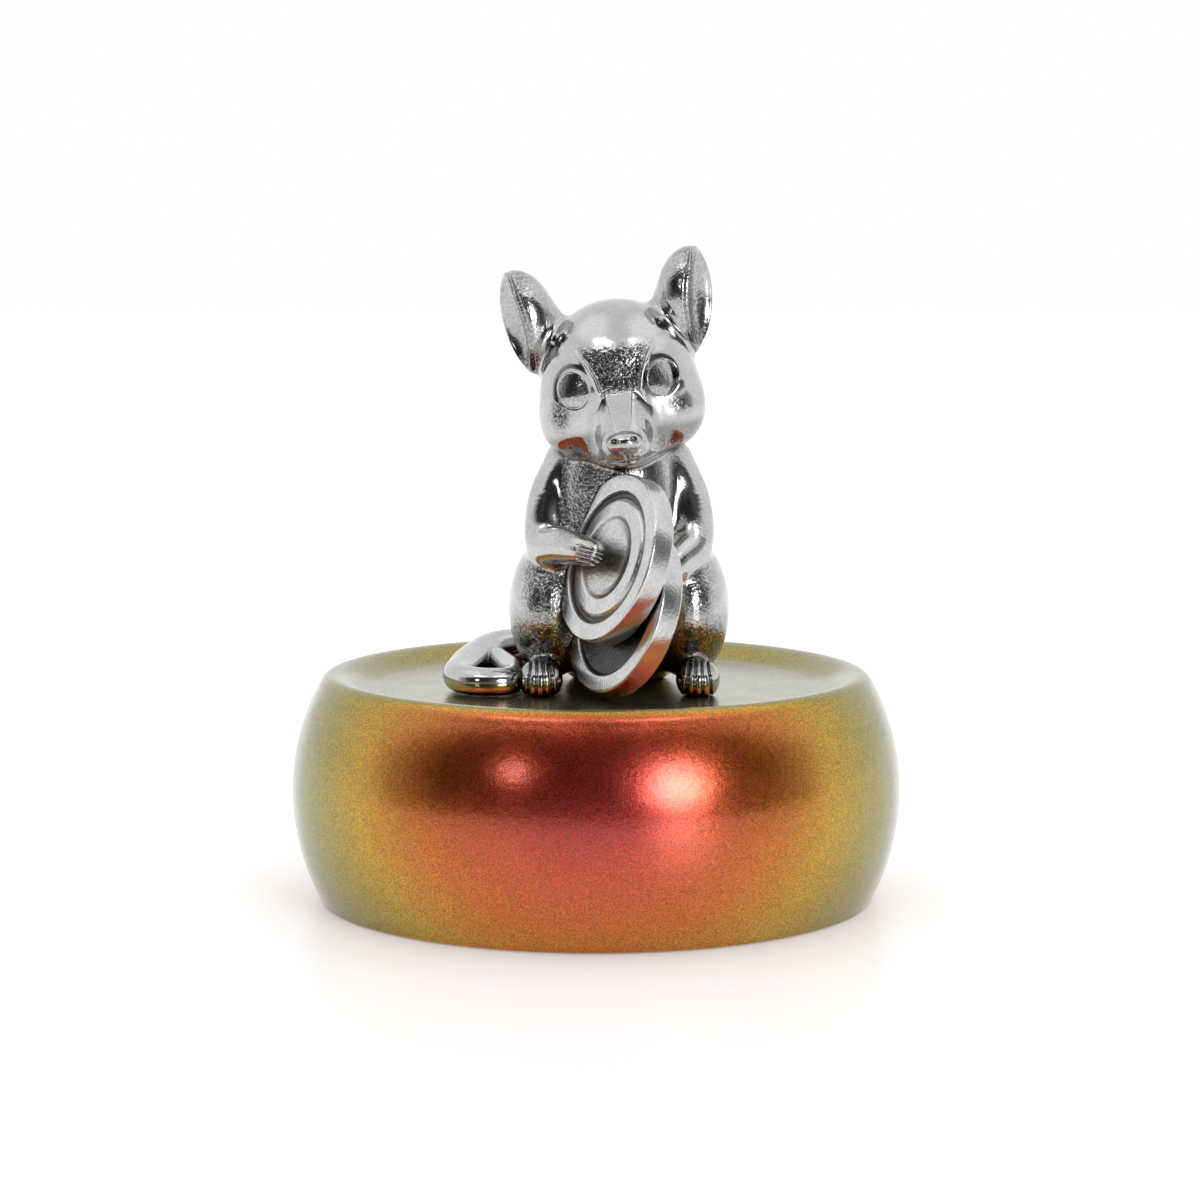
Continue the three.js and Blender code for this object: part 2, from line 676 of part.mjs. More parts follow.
function buildArm(side, margin = 0) {
  const { points, paw, wrist } = armLine(side);
  const fore = (ARM_ELBOW_DIAMETER + ARM_WRIST_DIAMETER) / 2;
  const diameters = [
    ARM_SHOULDER_DIAMETER, ARM_SHOULDER_DIAMETER, ARM_ELBOW_DIAMETER, fore, ARM_WRIST_DIAMETER,
  ];
  let arm = limb(points, diameters, 9, 12, margin);
  for (let finger = 0; finger < FINGERS; finger += 1) {
    const spread = (finger - (FINGERS - 1) / 2) * FINGER_SPREAD;
    const root = wrist.clone().addScaledVector(coinDown, spread * 0.7);
    const tip = paw.clone().addScaledVector(coinDown, spread * 1.3);
    const knuckle = root.clone().lerp(tip, 0.5).addScaledVector(coinFacing, 0.3);
    const sizes = [FINGER_DIAMETER, FINGER_DIAMETER, FINGER_DIAMETER * 0.7];
    arm = arm.add(limb([root, knuckle, tip], sizes, 5, 3, margin));
  }
  return arm;
}

function buildFoot(side, margin = 0) {
  const x = (side * FOOT_SPREAD) / 2;
  const middle = FOOT_HEIGHT * SOLE_SHARE;
  const lobes = [lobe(x, -FOOT_FORWARD, middle, FOOT_WIDTH, FOOT_LENGTH, FOOT_HEIGHT)];
  const toePitch = FOOT_WIDTH / (TOES + 0.4);
  for (let toe = 0; toe < TOES; toe += 1) {
    const across = (toe - (TOES - 1) / 2) * toePitch;
    const ahead = -FOOT_FORWARD - FOOT_LENGTH / 2 + TOE_LENGTH * 0.4 + Math.abs(across) * 0.2;
    lobes.push(lobe(x + across, ahead, middle, toePitch * 1.1, TOE_LENGTH, FOOT_HEIGHT * 0.86));
  }
  const form = { lobes, blend: 0.5, core: vector(x, -FOOT_FORWARD, middle) };
  return skin(form, FOOT_FINE, margin).subtract(belowFloor());
}

function tailLine() {
  const low = TAIL_TIP_DIAMETER / 2;
  const high = TAIL_ROOT_DIAMETER / 2;
  const root = vector(-2, RUMP_BACK + 4, high + 2);
  const besideFoot = -(FOOT_SPREAD + FOOT_WIDTH + TAIL_TIP_DIAMETER) / 2 - SOLDER_GAP * 2;
  return [
    root,
    vector(root.x - 9, root.y - 0.5, high + 1.2),
    vector(root.x - 15.4, root.y - 3.5, high + 0.8),
    vector(root.x - 18.4, root.y - 9, high),
    vector(root.x - 19.3, root.y - 16, high - 0.2),
    vector(root.x - 17.8, root.y - 21.2, high - 0.4),
    vector(besideFoot - 1.6, root.y - 22.2, low + 0.4),
    vector(besideFoot, root.y - 19, low + 0.3),
    vector(besideFoot - 1.2, root.y - 15.5, low + 0.3),
  ];
}

function buildTail(margin = 0) {
  const sizes = [TAIL_ROOT_DIAMETER, (TAIL_ROOT_DIAMETER + TAIL_TIP_DIAMETER) / 2, TAIL_TIP_DIAMETER];
  const rod = limb(tailLine(), sizes, 9, 30, margin);
  return rod.subtract(belowFloor());
}

function buildFigure() {
  const coins = { front: buildCoin(COIN_DOME), rear: buildCoin(0) };
  const coinSpace = moved(buildCoin(COIN_DOME, SOLDER_GAP), frontCoinStand)
    .add(moved(buildCoin(0, SOLDER_GAP), rearCoinStand));
  const { head, ears } = buildHeadGroup(coinSpace);
  const headSpace = moved(skin(face, HEAD_FINE, SOLDER_GAP), headStand);
  const arms = {};
  const feet = {};
  let body = skin(bodyForm(), BODY_FINE).subtract(belowFloor());
  body = body.subtract(headSpace);
  const socket = cylinder(SPIGOT_DIAMETER / 2 + SOLDER_GAP, -spigotDepth - SOLDER_GAP, 0);
  body = body.subtract(moved(socket, spigotStand)).subtract(coinSpace);
  for (const [name, side] of Object.entries(SIDES)) {
    arms[name] = largest(buildArm(side).subtract(coinSpace).subtract(headSpace));
    feet[name] = buildFoot(side);
    body = body.subtract(buildArm(side, SOLDER_GAP)).subtract(buildFoot(side, SOLDER_GAP));
    const bite = cylinder(SCREW_DIAMETER / 2 + SCREW_GAP, -1, SCREW_BITE + SCREW_GAP);
    body = body.subtract(bite.translate((side * SCREW_SPACING) / 2, SCREW_BACK, 0));
  }
  const tail = buildTail();
  body = largest(body.subtract(buildTail(SOLDER_GAP)));
  return { coins, head, ears, arms, feet, tail, body };
}

// Materials

const pewter = new THREE.MeshStandardMaterial({
  name: "pewter", color: 0xb9b7b2, metalness: 1, roughness: 0.22,
});
const lacquer = new THREE.MeshStandardMaterial({
  name: "lacquer", color: 0x8a3a1c, metalness: 0.5, roughness: 0.25,
});
const felt = new THREE.MeshStandardMaterial({
  name: "felt", color: 0x2a2726, metalness: 0, roughness: 0.95,
});
const steel = new THREE.MeshStandardMaterial({
  name: "zinc_steel", color: 0xa9adb0, metalness: 1, roughness: 0.35,
});

function piece(name, solid, material) {
  const mesh = new THREE.Mesh(geometryFrom(solid), material);
  mesh.name = name;
  return mesh;
}

// Assembly

const ornament = new THREE.Group();
ornament.name = "rat_ornament";
ornament.add(piece("base_drum", buildBase(), lacquer));
ornament.add(piece("base_pad", cylinder(PAD_DIAMETER / 2, 0, PAD_THICKNESS, ROUND), felt));
for (const place of screwPlaces()) {
  const screw = piece(`${place.name}_fixing_screw`, buildScrew(), steel);
  screw.position.set(place.x, place.y, 0);
  const washer = piece(`${place.name}_washer`, buildWasher(), steel);
  washer.position.set(place.x, place.y, 0);
  ornament.add(screw, washer);
}

const figure = new THREE.Group();
figure.name = "figure";
figure.position.set(FIGURE_RIGHT, FIGURE_BACK, FLOOR);
ornament.add(figure);

const parts = buildFigure();
figure.add(piece("body", parts.body, pewter));
for (const name of Object.keys(SIDES)) {
  figure.add(piece(`${name}_arm`, parts.arms[name], pewter));
  figure.add(piece(`${name}_foot`, parts.feet[name], pewter));
}
figure.add(piece("tail", parts.tail, pewter));

const headGroup = new THREE.Group();
headGroup.name = "head_group";
headStand.decompose(headGroup.position, headGroup.quaternion, headGroup.scale);
headGroup.add(piece("head", parts.head, pewter));
for (const name of Object.keys(SIDES)) headGroup.add(piece(`${name}_ear`, parts.ears[name], pewter));
figure.add(headGroup);

for (const [name, stand] of [["front", frontCoinStand], ["rear", rearCoinStand]]) {
  const coin = piece(`${name}_coin`, parts.coins[name], pewter);
  stand.decompose(coin.position, coin.quaternion, coin.scale);
  figure.add(coin);
}

export default ornament;
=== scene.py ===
import math
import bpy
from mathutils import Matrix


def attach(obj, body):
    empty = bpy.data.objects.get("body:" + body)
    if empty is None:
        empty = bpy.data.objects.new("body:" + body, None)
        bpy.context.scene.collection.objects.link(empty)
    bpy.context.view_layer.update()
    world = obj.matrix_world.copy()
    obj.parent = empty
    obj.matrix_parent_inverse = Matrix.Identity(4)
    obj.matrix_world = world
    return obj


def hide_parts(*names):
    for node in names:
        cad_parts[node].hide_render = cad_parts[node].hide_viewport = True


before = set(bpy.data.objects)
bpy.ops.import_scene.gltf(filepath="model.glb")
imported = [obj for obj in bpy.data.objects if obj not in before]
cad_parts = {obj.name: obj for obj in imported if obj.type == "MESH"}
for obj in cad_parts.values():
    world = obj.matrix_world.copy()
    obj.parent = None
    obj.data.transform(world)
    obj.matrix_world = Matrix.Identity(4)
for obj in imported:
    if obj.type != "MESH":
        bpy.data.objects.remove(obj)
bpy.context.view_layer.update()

from concurrent.futures import ThreadPoolExecutor

import bpy
import numpy as np
import openvdb
from mathutils import Vector

scene = bpy.context.scene

# Sizes in millimetres. The figure's own frame starts on the dish floor, under its middle.
MM = 0.001
FIGURE_PLACE = np.array((3.0, 0.0, 27.8))
LEFT = -1
RIGHT = 1
SIDE_NAMES = {LEFT: "left", RIGHT: "right"}

# Base
BASE_RADIUS = 40.0
BARREL_ARC = 29.5
BARREL_MIDDLE = 14.3
BASE_FOOT = 0.08
BASE_TOP = 29.8
DISH_FLOOR = 27.8
CREST_RADIUS = 34.6
DISH_RADIUS = 28.6
PAD_RECESS_RADIUS = 30.2
PAD_RECESS_TOP = 1.6

# Head, in its own frame: x to the viewer's right, y to the back, z up
HEAD_PLACE = np.array((0.0, -0.6, 39.9))
HEAD_ROLL = math.radians(8)
HEAD_YAW = math.radians(1.6)
SKULL = ((0, 0.4, 0.5), (20.4, 20, 21))
SNOUT_ROOT = (0, -6.3, -3.6)
SNOUT_TIP = (0, -10.7, -7.0)
SNOUT_DIAMETERS = (8.6, 6.2)
CHIN = ((0, -5.6, -8.0), (9, 9, 5.6))
CHEEK = ((5.1, -2.8, -3.6), (11.4, 11.4, 11.4))
HEAD_MELT = 2.4
SNOUT_MELT = 1.7
EYE_ACROSS = 5.75
EYE_UP = 0.3
EYE_HALF_WIDTH = 2.0
EYE_HALF_HEIGHT = 2.3
BROW_HEIGHTS = (-2.6, -0.6, 1.4, 3.4, 5.2, 6.6)
BROW_HALF_WIDTHS = (3.1, 2.25, 2.75, 3.65, 4.75, 6.2)
BROW_SHIFT = 0.3
BRIDGE_TOP = (-9.95, -0.6)
BRIDGE_SLOPE = (0.575, 0.819)
LEAN_OUT = 0.03

# Relief of the face. Eyes lean by a cosine and a sine, and each ball is turned by a slope.
EYE_LEAN = (0.985, 0.17)
EYE_TURN = {LEFT: -0.05, RIGHT: 0.33}
ORBIT_RISE = 0.34
BROW_RISE = 0.22
UPPER_LID_RISE = 0.15
LOWER_LID_LOSS = 0.08
LID_GUTTER = 0.045
EYEBALL_RISE = 0.15
EYEBALL_SEAT = 0.02
CHEEK_MARK = 0.12
PATCH_DEPTH = 0.34
MOUTH_DEPTH = 0.25
NOSE_PAD = ((0, -13.1, -6.9), (4.6, 3.8, 2.9))
NOSTRIL = ((1.3, -14.7, -6.5), (1.0, 1.7, 0.65))

# Ears
EAR_PLACES = {LEFT: np.array((-11.4, 1.2, 9.6)), RIGHT: np.array((10.8, 1.2, 9.6))}
EAR_HALF_WIDTH = 4.9
EAR_HALF_LENGTH = 6.8
EAR_HALF_DEPTH = 4.4
EAR_HOLLOW = (9.1, 12.6, 3.5)
EAR_BRIM_RISE = 3.0
EAR_ROOT = ((0.7, -3.0, -2.6), (6.8, 9.2, 6.2))
EAR_CHANNEL = 0.25
EAR_CHANNEL_DEPTH = 0.8
EAR_TURN = math.radians(36)
EAR_LEAN = math.radians(7)

# Coins
COIN_RADIUS = 11.0
COIN_THICK = 3.0
COIN_TURN = math.radians(61)
COIN_TILT = math.radians(17.5)
FRONT_COIN_PLACE = np.array((-1.75, -13.5, 18.5))
COIN_GAP = 0.3
COIN_SLIDE = 6.0

# Torso lobes: centre, then width, depth and height
BELLY = ((0, 2.2, 13.0), (21, 20, 23))
CHEST = ((0, 0.8, 24.0), (17, 15.5, 19))
RUMP = ((0, 8.0, 5.8), (19, 15, 15))
BACK = ((0, 4.4, 17.0), (18, 16, 27))
NECK = ((0, 0.8, 30.33), (12.5, 12.5, 12.5))
HAUNCH = ((9.0, 0.6, 10.3), (11, 17.4, 18.6))
TORSO_MELT = 4.5
HAUNCH_MELT = 2.2

# Arms
SHOULDER = np.array((6.7, 0.8, 29.6))
ELBOW = np.array((9.4, -3.4, 19.2))
ARM_DIAMETERS = (6.0, 6.0, 5.5, 4.7, 3.7)
PALM_DIAMETER = 3.3
FINGERS = 4
FINGER_PITCH = 0.5
FINGER_GROOVE = 0.34

# Feet
FOOT_ACROSS = 10.15
FOOT_MIDDLE = (-7.2, 2.04)
FOOT_SIZE = (5.7, 7.4, 5.5)
TOES = 5
TOE_PITCH = 1.06
TOE_GROOVE = 0.36

# Tail, from the rump round the left side to the left foot, with its tip curled back inside the loop
TAIL_LINE = (
    (-2.0, 12.0, 4.3), (-11.0, 11.4, 3.6), (-16.3, 9.3, 3.3), (-18.9, 4.7, 2.9), (-20.6, -1.6, 2.4),
    (-20.8, -6.6, 2.05), (-18.0, -9.7, 1.9), (-14.6, -9.3, 1.9), (-13.8, -6.0, 2.0), (-14.6, -0.8, 2.4),
    (-16.2, 3.8, 3.0),
)
TAIL_DIAMETERS = (5.2, 5.6, 5.6, 4.9, 4.2, 3.8, 3.7, 3.6, 3.6, 3.6, 3.2)

# Fillets where the castings are soldered, and how castings end under each other
EAR_FILLET = 1.5
NECK_FILLET = 0.5
ARM_FILLET = 1.6
JAW_FILLET = 0.4
FOOT_FILLET = 1.0
TAIL_FILLET = 0.8
SEAM_SINK = 0.12
SEAM_OVERLAP = 0.5
COIN_CLEARANCE = 0.04
FLOOR_CLEARANCE = 0.02

# Fineness
FINE = 0.16
TURNED_FACETS = 288
WORKERS = 4
COARSE = 4
OPENNESS_REACHES = (0.5, 1.1, 2.2)

# Depth of the bumps in pewter and lacquer, in metres
BUMP_DEPTH = 0.00012

# Studio, in metres, radians and lens millimetres
TABLE_HALF = 3.0
TABLE_LIFT = 0.235
CAMERA_PLACE = (0.0005, -0.41968, 0.08850)
CAMERA_DIP = 0.117
CAMERA_LENS = 96.41

# Patches of light and shade in the tent, each laid over the ones before: azimuth, elevation,
# half width and half height in degrees, softness, squareness, brightness
LEFT_PANEL = (-92, 62, 26, 16, 0.8, 2.0, 1.25)
RIGHT_PANEL = (92, 62, 26, 16, 0.8, 2.0, 1.25)
LEFT_STREAK = (-33, 53, 15, 5, 0.6, 2.0, 3.0)
RIGHT_STREAK = (33, 53, 15, 5, 0.6, 2.0, 3.0)
DIM_FRONT = (0.5, 23, 80, 25, 0.45, 4.0, 0.03)
LOW_FRONT = (0.5, -6, 75, 16, 0.9, 2.0, 0.15)
LAMP_HALO = (31, 15, 26, 22, 0.9, 2.0, 0.18)
MAIN_LAMP = (31, 15, 12.5, 12.5, 0.6, 2.0, 4.2)
LAMP_CORE = (31, 15, 7.5, 7.5, 0.9, 2.0, 10.0)
SMALL_LAMP = (-32, 22, 5, 5, 0.6, 2.0, 3.8)
TENT_PATCHES = (
    LEFT_PANEL, RIGHT_PANEL, LEFT_STREAK, RIGHT_STREAK, DIM_FRONT, LOW_FRONT,
    LAMP_HALO, MAIN_LAMP, LAMP_CORE, SMALL_LAMP,
)


# Soft forms: how far points lie outside a form, negative inside

def lobe(points, centre, size):
    """An egg-shaped lobe."""
    half = np.asarray(size, np.float32) / 2
    scaled = (points - np.asarray(centre, np.float32)) / half
    reach = np.maximum(np.sqrt((scaled * scaled).sum(-1)), 1e-3)
    steep = scaled / half
    slope = np.maximum(np.sqrt((steep * steep).sum(-1)), 1e-6)
    return reach * (reach - 1) / slope


def melt(one, other, blend):
    """Two forms run together with a soft fillet."""
    share = np.maximum(blend - np.abs(one - other), 0) / blend
    return np.minimum(one, other) - share * share * blend / 4


def pare(one, other, blend):
    """What two forms have in common, with a rounded edge."""
    return -melt(-one, -other, blend)


def step(values, start, end):
    """A smooth rise from 0 at start to 1 at end."""
    share = np.clip((values - start) / (end - start), 0, 1)
    return share * share * (3 - 2 * share)


def bump_at(across, up, radius_across, radius_up):
    """A soft round swelling, 1 at its middle."""
    return np.exp(-(across / radius_across) ** 2 - (up / radius_up) ** 2)


def mirrored(place, side):
    """A place for one side of the figure, from the place for its right side."""
    return np.array((side * place[0], place[1], place[2]), np.float32)


def smooth_line(points, steps):
    """A smooth line through points."""
    places = np.asarray(points, float)
    first = 2 * places[0] - places[1]
    last = 2 * places[-1] - places[-2]
    hull = np.vstack((first, places, last))
    line = []
    for i in range(1, len(hull) - 2):
        a, b, c, d = hull[i - 1:i + 3]
        knots = [0.0]
        for one, two in ((a, b), (b, c), (c, d)):
            knots.append(knots[-1] + math.sqrt(np.linalg.norm(two - one)))
        t0, t1, t2, t3 = knots
        for share in np.arange(steps) / steps:
            t = t1 + (t2 - t1) * share
            ab = a + (b - a) * (t - t0) / (t1 - t0)
            bc = b + (c - b) * (t - t1) / (t2 - t1)
            cd = c + (d - c) * (t - t2) / (t3 - t2)
            abc = ab + (bc - ab) * (t - t0) / (t2 - t0)
            bcd = bc + (cd - bc) * (t - t1) / (t3 - t1)
            line.append(abc + (bcd - abc) * (t - t1) / (t2 - t1))
    line.append(places[-1])
    return np.array(line, np.float32)


def rod(line, diameters):
    """A tapering round rod along a line, as a form."""
    shares = np.linspace(0, 1, len(line))
    radii = np.interp(shares, np.linspace(0, 1, len(diameters)), np.asarray(diameters) / 2)

    def form(points):
        best = np.full(points.shape[:-1], 1e3, np.float32)
        for i in range(len(line) - 1):
            run = line[i + 1] - line[i]
            offset = points - line[i]
            share = np.clip(offset @ run / (run @ run), 0, 1)
            gap = offset - share[..., None] * run
            distance = np.sqrt((gap * gap).sum(-1)) - (radii[i] + (radii[i + 1] - radii[i]) * share)
            best = np.minimum(best, distance)
        return best

    return form


# Frames of the head, ears and coins

def turn_y(angle):
    c, s = math.cos(angle), math.sin(angle)
    return np.array(((c, 0, s), (0, 1, 0), (-s, 0, c)))


def turn_z(angle):
    c, s = math.cos(angle), math.sin(angle)
    return np.array(((c, -s, 0), (s, c, 0), (0, 0, 1)))


HEAD_AXES = (turn_y(-HEAD_ROLL) @ turn_z(-HEAD_YAW)).astype(np.float32)


def in_head(points):
    """Points of the figure in the head's own frame."""
    return (points - HEAD_PLACE.astype(np.float32)) @ HEAD_AXES


def ear_axes(side):
    """Across the opening, along the ear, and out of the opening, in the head's frame."""
    outward = np.array((side * math.cos(EAR_TURN), -math.sin(EAR_TURN), 0))
    along = np.array((side * math.sin(EAR_LEAN), 0, math.cos(EAR_LEAN)))
    across = np.cross(along, outward)
    across /= np.linalg.norm(across)
    facing = np.cross(across, along)
    return np.array((across, along, facing), np.float32)


COIN_FACING = np.array((
    -math.sin(COIN_TURN) * math.cos(COIN_TILT),
    -math.cos(COIN_TURN) * math.cos(COIN_TILT),
    math.sin(COIN_TILT),
))
COIN_DOWN = np.array((0, 0, -1.0)) + COIN_FACING * COIN_FACING[2]
COIN_DOWN /= np.linalg.norm(COIN_DOWN)
REAR_COIN_PLACE = FRONT_COIN_PLACE - COIN_FACING * (COIN_THICK + COIN_GAP) + COIN_DOWN * COIN_SLIDE


# The forms of the figure

def face_relief(x, y, z):
    """How far the modelled face stands out of the plain head, in millimetres."""
    front = step(-y, 1.0, 3.5)
    relief = np.zeros_like(x)
    half = np.interp(z, BROW_HEIGHTS, BROW_HALF_WIDTHS)
    for side in (LEFT, RIGHT):
        across = side * x - EYE_ACROSS
        up = z - EYE_UP
        lean = across * EYE_LEAN[0] - up * EYE_LEAN[1]
        rise = up * EYE_LEAN[0] + across * EYE_LEAN[1]
        eye = np.sqrt((lean / EYE_HALF_WIDTH) ** 2 + (rise / EYE_HALF_HEIGHT) ** 2)
        from_brow = side * (x - BROW_SHIFT) - half
        around_eye = step(from_brow, -0.12, 0.28) * step(eye, 2.6, 1.5)
        cheek_to_crown = step(z, -3.0, -0.2) * step(z, 5.8, 4.4)
        relief += ORBIT_RISE * (around_eye * cheek_to_crown)
        ridge = np.exp(-((from_brow - 0.42) / 0.26) ** 2)
        brow = ridge * step(z, -1.4, -0.2) * step(z, 5.4, 4.2)
        relief += BROW_RISE * brow
        lid = np.exp(-((eye - 1.36) / 0.33) ** 2)
        relief += (UPPER_LID_RISE - LOWER_LID_LOSS * step(rise, -0.4, -2.0)) * lid
        gutter = np.exp(-((eye - 1.02) / 0.06) ** 2)
        relief -= LID_GUTTER * gutter
        ball = step(eye, 1.05, 0.95)
        relief += ball * (EYEBALL_RISE * (1 - eye * eye) - EYE_TURN[side] * lean + EYEBALL_SEAT)
    relief -= CHEEK_MARK * bump_at(x - 6.9, z + 3.1, 0.9, 0.8)
    relief -= CHEEK_MARK * bump_at(x + 7.4, z + 2.5, 0.8, 1.5)
    in_patch = np.clip(1 - ((x - BROW_SHIFT) / np.maximum(half, 0.5)) ** 2, 0, 1)
    flat = in_patch * step(z, -1.8, -0.2) * step(z, 4.8, 0.0)
    relief -= PATCH_DEPTH * flat
    lean_out = np.clip(2.6 - z, 0, 3.2)
    relief += LEAN_OUT * lean_out * lean_out * step(np.abs(x), 4.0, 1.6) * step(z, -5.5, -2.2)
    return relief * front


def nose_and_mouth(x, y, z, skin):
    """Flat bridge of the nose, nose pad with nostrils and line of the mouth, worked into the skin."""
    places = np.stack((x, y, z), -1)
    y_top, z_top = BRIDGE_TOP
    bridge = (z - z_top) * BRIDGE_SLOPE[0] - (y - y_top) * BRIDGE_SLOPE[1]
    wide = np.interp(z, (-5.4, z_top), (0.92, 1.75))
    window = step(np.abs(x), wide + 0.10, wide - 0.06) * step(z, z_top + 0.15, z_top - 0.1)
    window *= step(z, -6.2, -5.7) * step(-y, 5.0, 7.0)
    skin = skin + window * (bridge - skin)
    pad = lobe(places, *NOSE_PAD)
    for side in (LEFT, RIGHT):
        nostril = lobe(places, mirrored(NOSTRIL[0], side), NOSTRIL[1])
        pad = pare(pad, -nostril, 0.2)
    skin = melt(skin, pad, 0.25)
    groove = bump_at(x, z + 8.7, 0.2, 0.6) * step(-y, 9.5, 10.5)
    skin = skin + MOUTH_DEPTH * groove
    lip = -9.25 - 0.22 * np.cos(np.clip(x / 3.4, -1, 1) * math.pi)
    mouth = np.exp(-((z - lip) / 0.18) ** 2) * step(np.abs(x), 3.9, 2.9) * step(-y, 4.5, 7.0)
    return skin + MOUTH_DEPTH * mouth


snout = rod(np.array((SNOUT_ROOT, SNOUT_TIP), np.float32), SNOUT_DIAMETERS)


def head_form(points):
    local = in_head(points)
    skin = lobe(local, *SKULL)
    for side in (LEFT, RIGHT):
        skin = melt(skin, lobe(local, mirrored(CHEEK[0], side), CHEEK[1]), HEAD_MELT)
    skin = melt(skin, snout(local), SNOUT_MELT)
    skin = melt(skin, lobe(local, *CHIN), HEAD_MELT)
    x, y, z = local[..., 0], local[..., 1], local[..., 2]
    skin = skin - face_relief(x, y, z)
    return nose_and_mouth(x, y, z, skin)


def ear_form(side):
    """A cup on a fleshy root: a thin ridge along its front edge, with a groove behind the ridge."""
    axes = ear_axes(side)
    place = EAR_PLACES[side]
    front = -side
    half = np.array((EAR_HALF_WIDTH, EAR_HALF_LENGTH, EAR_HALF_DEPTH), np.float32)

    def form(points):
        local = (in_head(points) - place) @ axes.T
        forward = local[..., 0] * front
        brim = local[..., 2] - EAR_BRIM_RISE * step(forward, -3.0, 4.6)
        outer = lobe(local, (0, 0, 0), half * 2)
        inner = lobe(np.stack((forward, local[..., 1], brim), -1), (-0.15, 0, 0.3), EAR_HOLLOW)
        root = lobe(local, mirrored(EAR_ROOT[0], front), EAR_ROOT[1])
        cup = melt(outer, root, 1.6)
        cup = pare(cup, brim, 0.4)
        cup = pare(cup, -inner, 0.25)
        channel = np.sqrt((outer * 0.7) ** 2 + (brim + EAR_CHANNEL_DEPTH) ** 2)
        channel = channel - EAR_CHANNEL * step(forward, 0.2, 2.2)
        return pare(cup, -channel, 0.3)

    return form


def torso_form(points):
    skin = lobe(points, *BELLY)
    for centre, size in (CHEST, RUMP, BACK, NECK):
        skin = melt(skin, lobe(points, centre, size), TORSO_MELT)
    for side in (LEFT, RIGHT):
        skin = melt(skin, lobe(points, mirrored(HAUNCH[0], side), HAUNCH[1]), HAUNCH_MELT)
    return skin


def arm_line(side):
    """Shoulder, upper arm, elbow, forearm and wrist, and where the paw's fingers end."""
    shoulder = mirrored(SHOULDER, side).astype(float)
    elbow = mirrored(ELBOW, side).astype(float)
    upper = (shoulder + elbow) / 2 + np.array((side * 0.9, 0.6, 0))
    if side == LEFT:
        paw = FRONT_COIN_PLACE + COIN_FACING * 0.9
    else:
        paw = REAR_COIN_PLACE - COIN_FACING * 4.7 - COIN_DOWN * COIN_RADIUS * 0.4
    reach = paw - elbow
    reach /= np.linalg.norm(reach)
    lift = COIN_FACING * (0.95 if side == LEFT else 0)
    wrist = paw - reach * 2.2 + lift
    fore = elbow + (wrist - elbow) * 0.55 + lift * 0.5
    return (shoulder, upper, elbow, fore, wrist), paw


def arm_form(side):
    """A rounded arm that ends in a blunt paw, with the fingers parted by grooves."""
    points_along, paw = arm_line(side)
    wrist = points_along[-1]
    reach = (paw - wrist) / np.linalg.norm(paw - wrist)
    palm = wrist + reach * 1.2
    sleeve = rod(smooth_line(points_along + (palm,), 10), ARM_DIAMETERS + (PALM_DIAMETER,))
    grooves = [COIN_DOWN * (finger * FINGER_PITCH - 0.35) for finger in range(FINGERS)]

    def form(points):
        skin = sleeve(points)
        offset = points - palm.astype(np.float32)
        along = offset @ reach.astype(np.float32)
        down = offset @ COIN_DOWN.astype(np.float32)
        near = step(along, -1.6, -0.6)
        for groove in grooves:
            skin = skin + FINGER_GROOVE * np.exp(-((down - groove @ COIN_DOWN) / 0.13) ** 2) * near
        return skin

    return form


def foot_form(side):
    """A rounded paw with toes parted by grooves."""
    x = side * FOOT_ACROSS
    forward, middle = FOOT_MIDDLE

    def form(points):
        skin = lobe(points, (x, forward - 1.2, middle), FOOT_SIZE)
        ankle = lobe(points, (x - side * 0.4, forward + 2.8, middle + 0.9), (4.0, 6.6, 4.6))
        skin = melt(skin, ankle, 0.9)
        reach = step(points[..., 1], forward + 0.4, forward - 2.2)
        fan = 1 - 0.11 * np.clip(points[..., 2] - middle, 0, 3)
        across = (points[..., 0] - x) / fan
        for groove in range(TOES - 1):
            offset = across - (groove - (TOES - 2) / 2) * TOE_PITCH
            skin = skin + TOE_GROOVE * np.exp(-(offset / 0.17) ** 2) * reach
        return pare(skin, -points[..., 2], 0.3)

    return form


def tail_form():
    sweep = rod(smooth_line(TAIL_LINE, 9), TAIL_DIAMETERS)

    def form(points):
        return pare(sweep(points), FLOOR_CLEARANCE - points[..., 2], 0.3)

    return form


def coin_form(place):
    facing = COIN_FACING.astype(np.float32)
    centre = place.astype(np.float32)

    def form(points):
        offset = points - centre
        height = offset @ facing
        flat = offset - height[..., None] * facing
        across = np.sqrt((flat * flat).sum(-1)) - COIN_RADIUS
        through = np.maximum(height, -COIN_THICK - height)
        return np.maximum(across, through)

    return form


ears = {side: ear_form(side) for side in (LEFT, RIGHT)}
arms = {side: arm_form(side) for side in (LEFT, RIGHT)}
feet = {side: foot_form(side) for side in (LEFT, RIGHT)}
tail = tail_form()
front_coin = coin_form(FRONT_COIN_PLACE)
rear_coin = coin_form(REAR_COIN_PLACE)


def all_forms(points):
    """The whole figure and the dish floor, for finding hollows."""
    gap = np.minimum(torso_form(points), head_form(points))
    for side in (LEFT, RIGHT):
        for part in (ears, arms, feet):
            gap = np.minimum(gap, part[side](points))
    for part in (tail, front_coin, rear_coin):
        gap = np.minimum(gap, part(points))
    return np.minimum(gap, points[..., 2])


def soldered(own, neighbours):
    """A casting whose surface runs into its neighbours' with a fillet and ends just under theirs."""

    def form(points):
        gap = own(points)
        skin = gap
        others = np.full_like(gap, 1e3)
        for neighbour, fillet in neighbours:
            distance = neighbour(points)
            skin = np.minimum(skin, melt(gap, distance, fillet))
            others = np.minimum(others, distance)
        beyond = gap - others
        return np.maximum(skin + SEAM_SINK * np.maximum(beyond, 0), beyond - SEAM_OVERLAP)

    return form


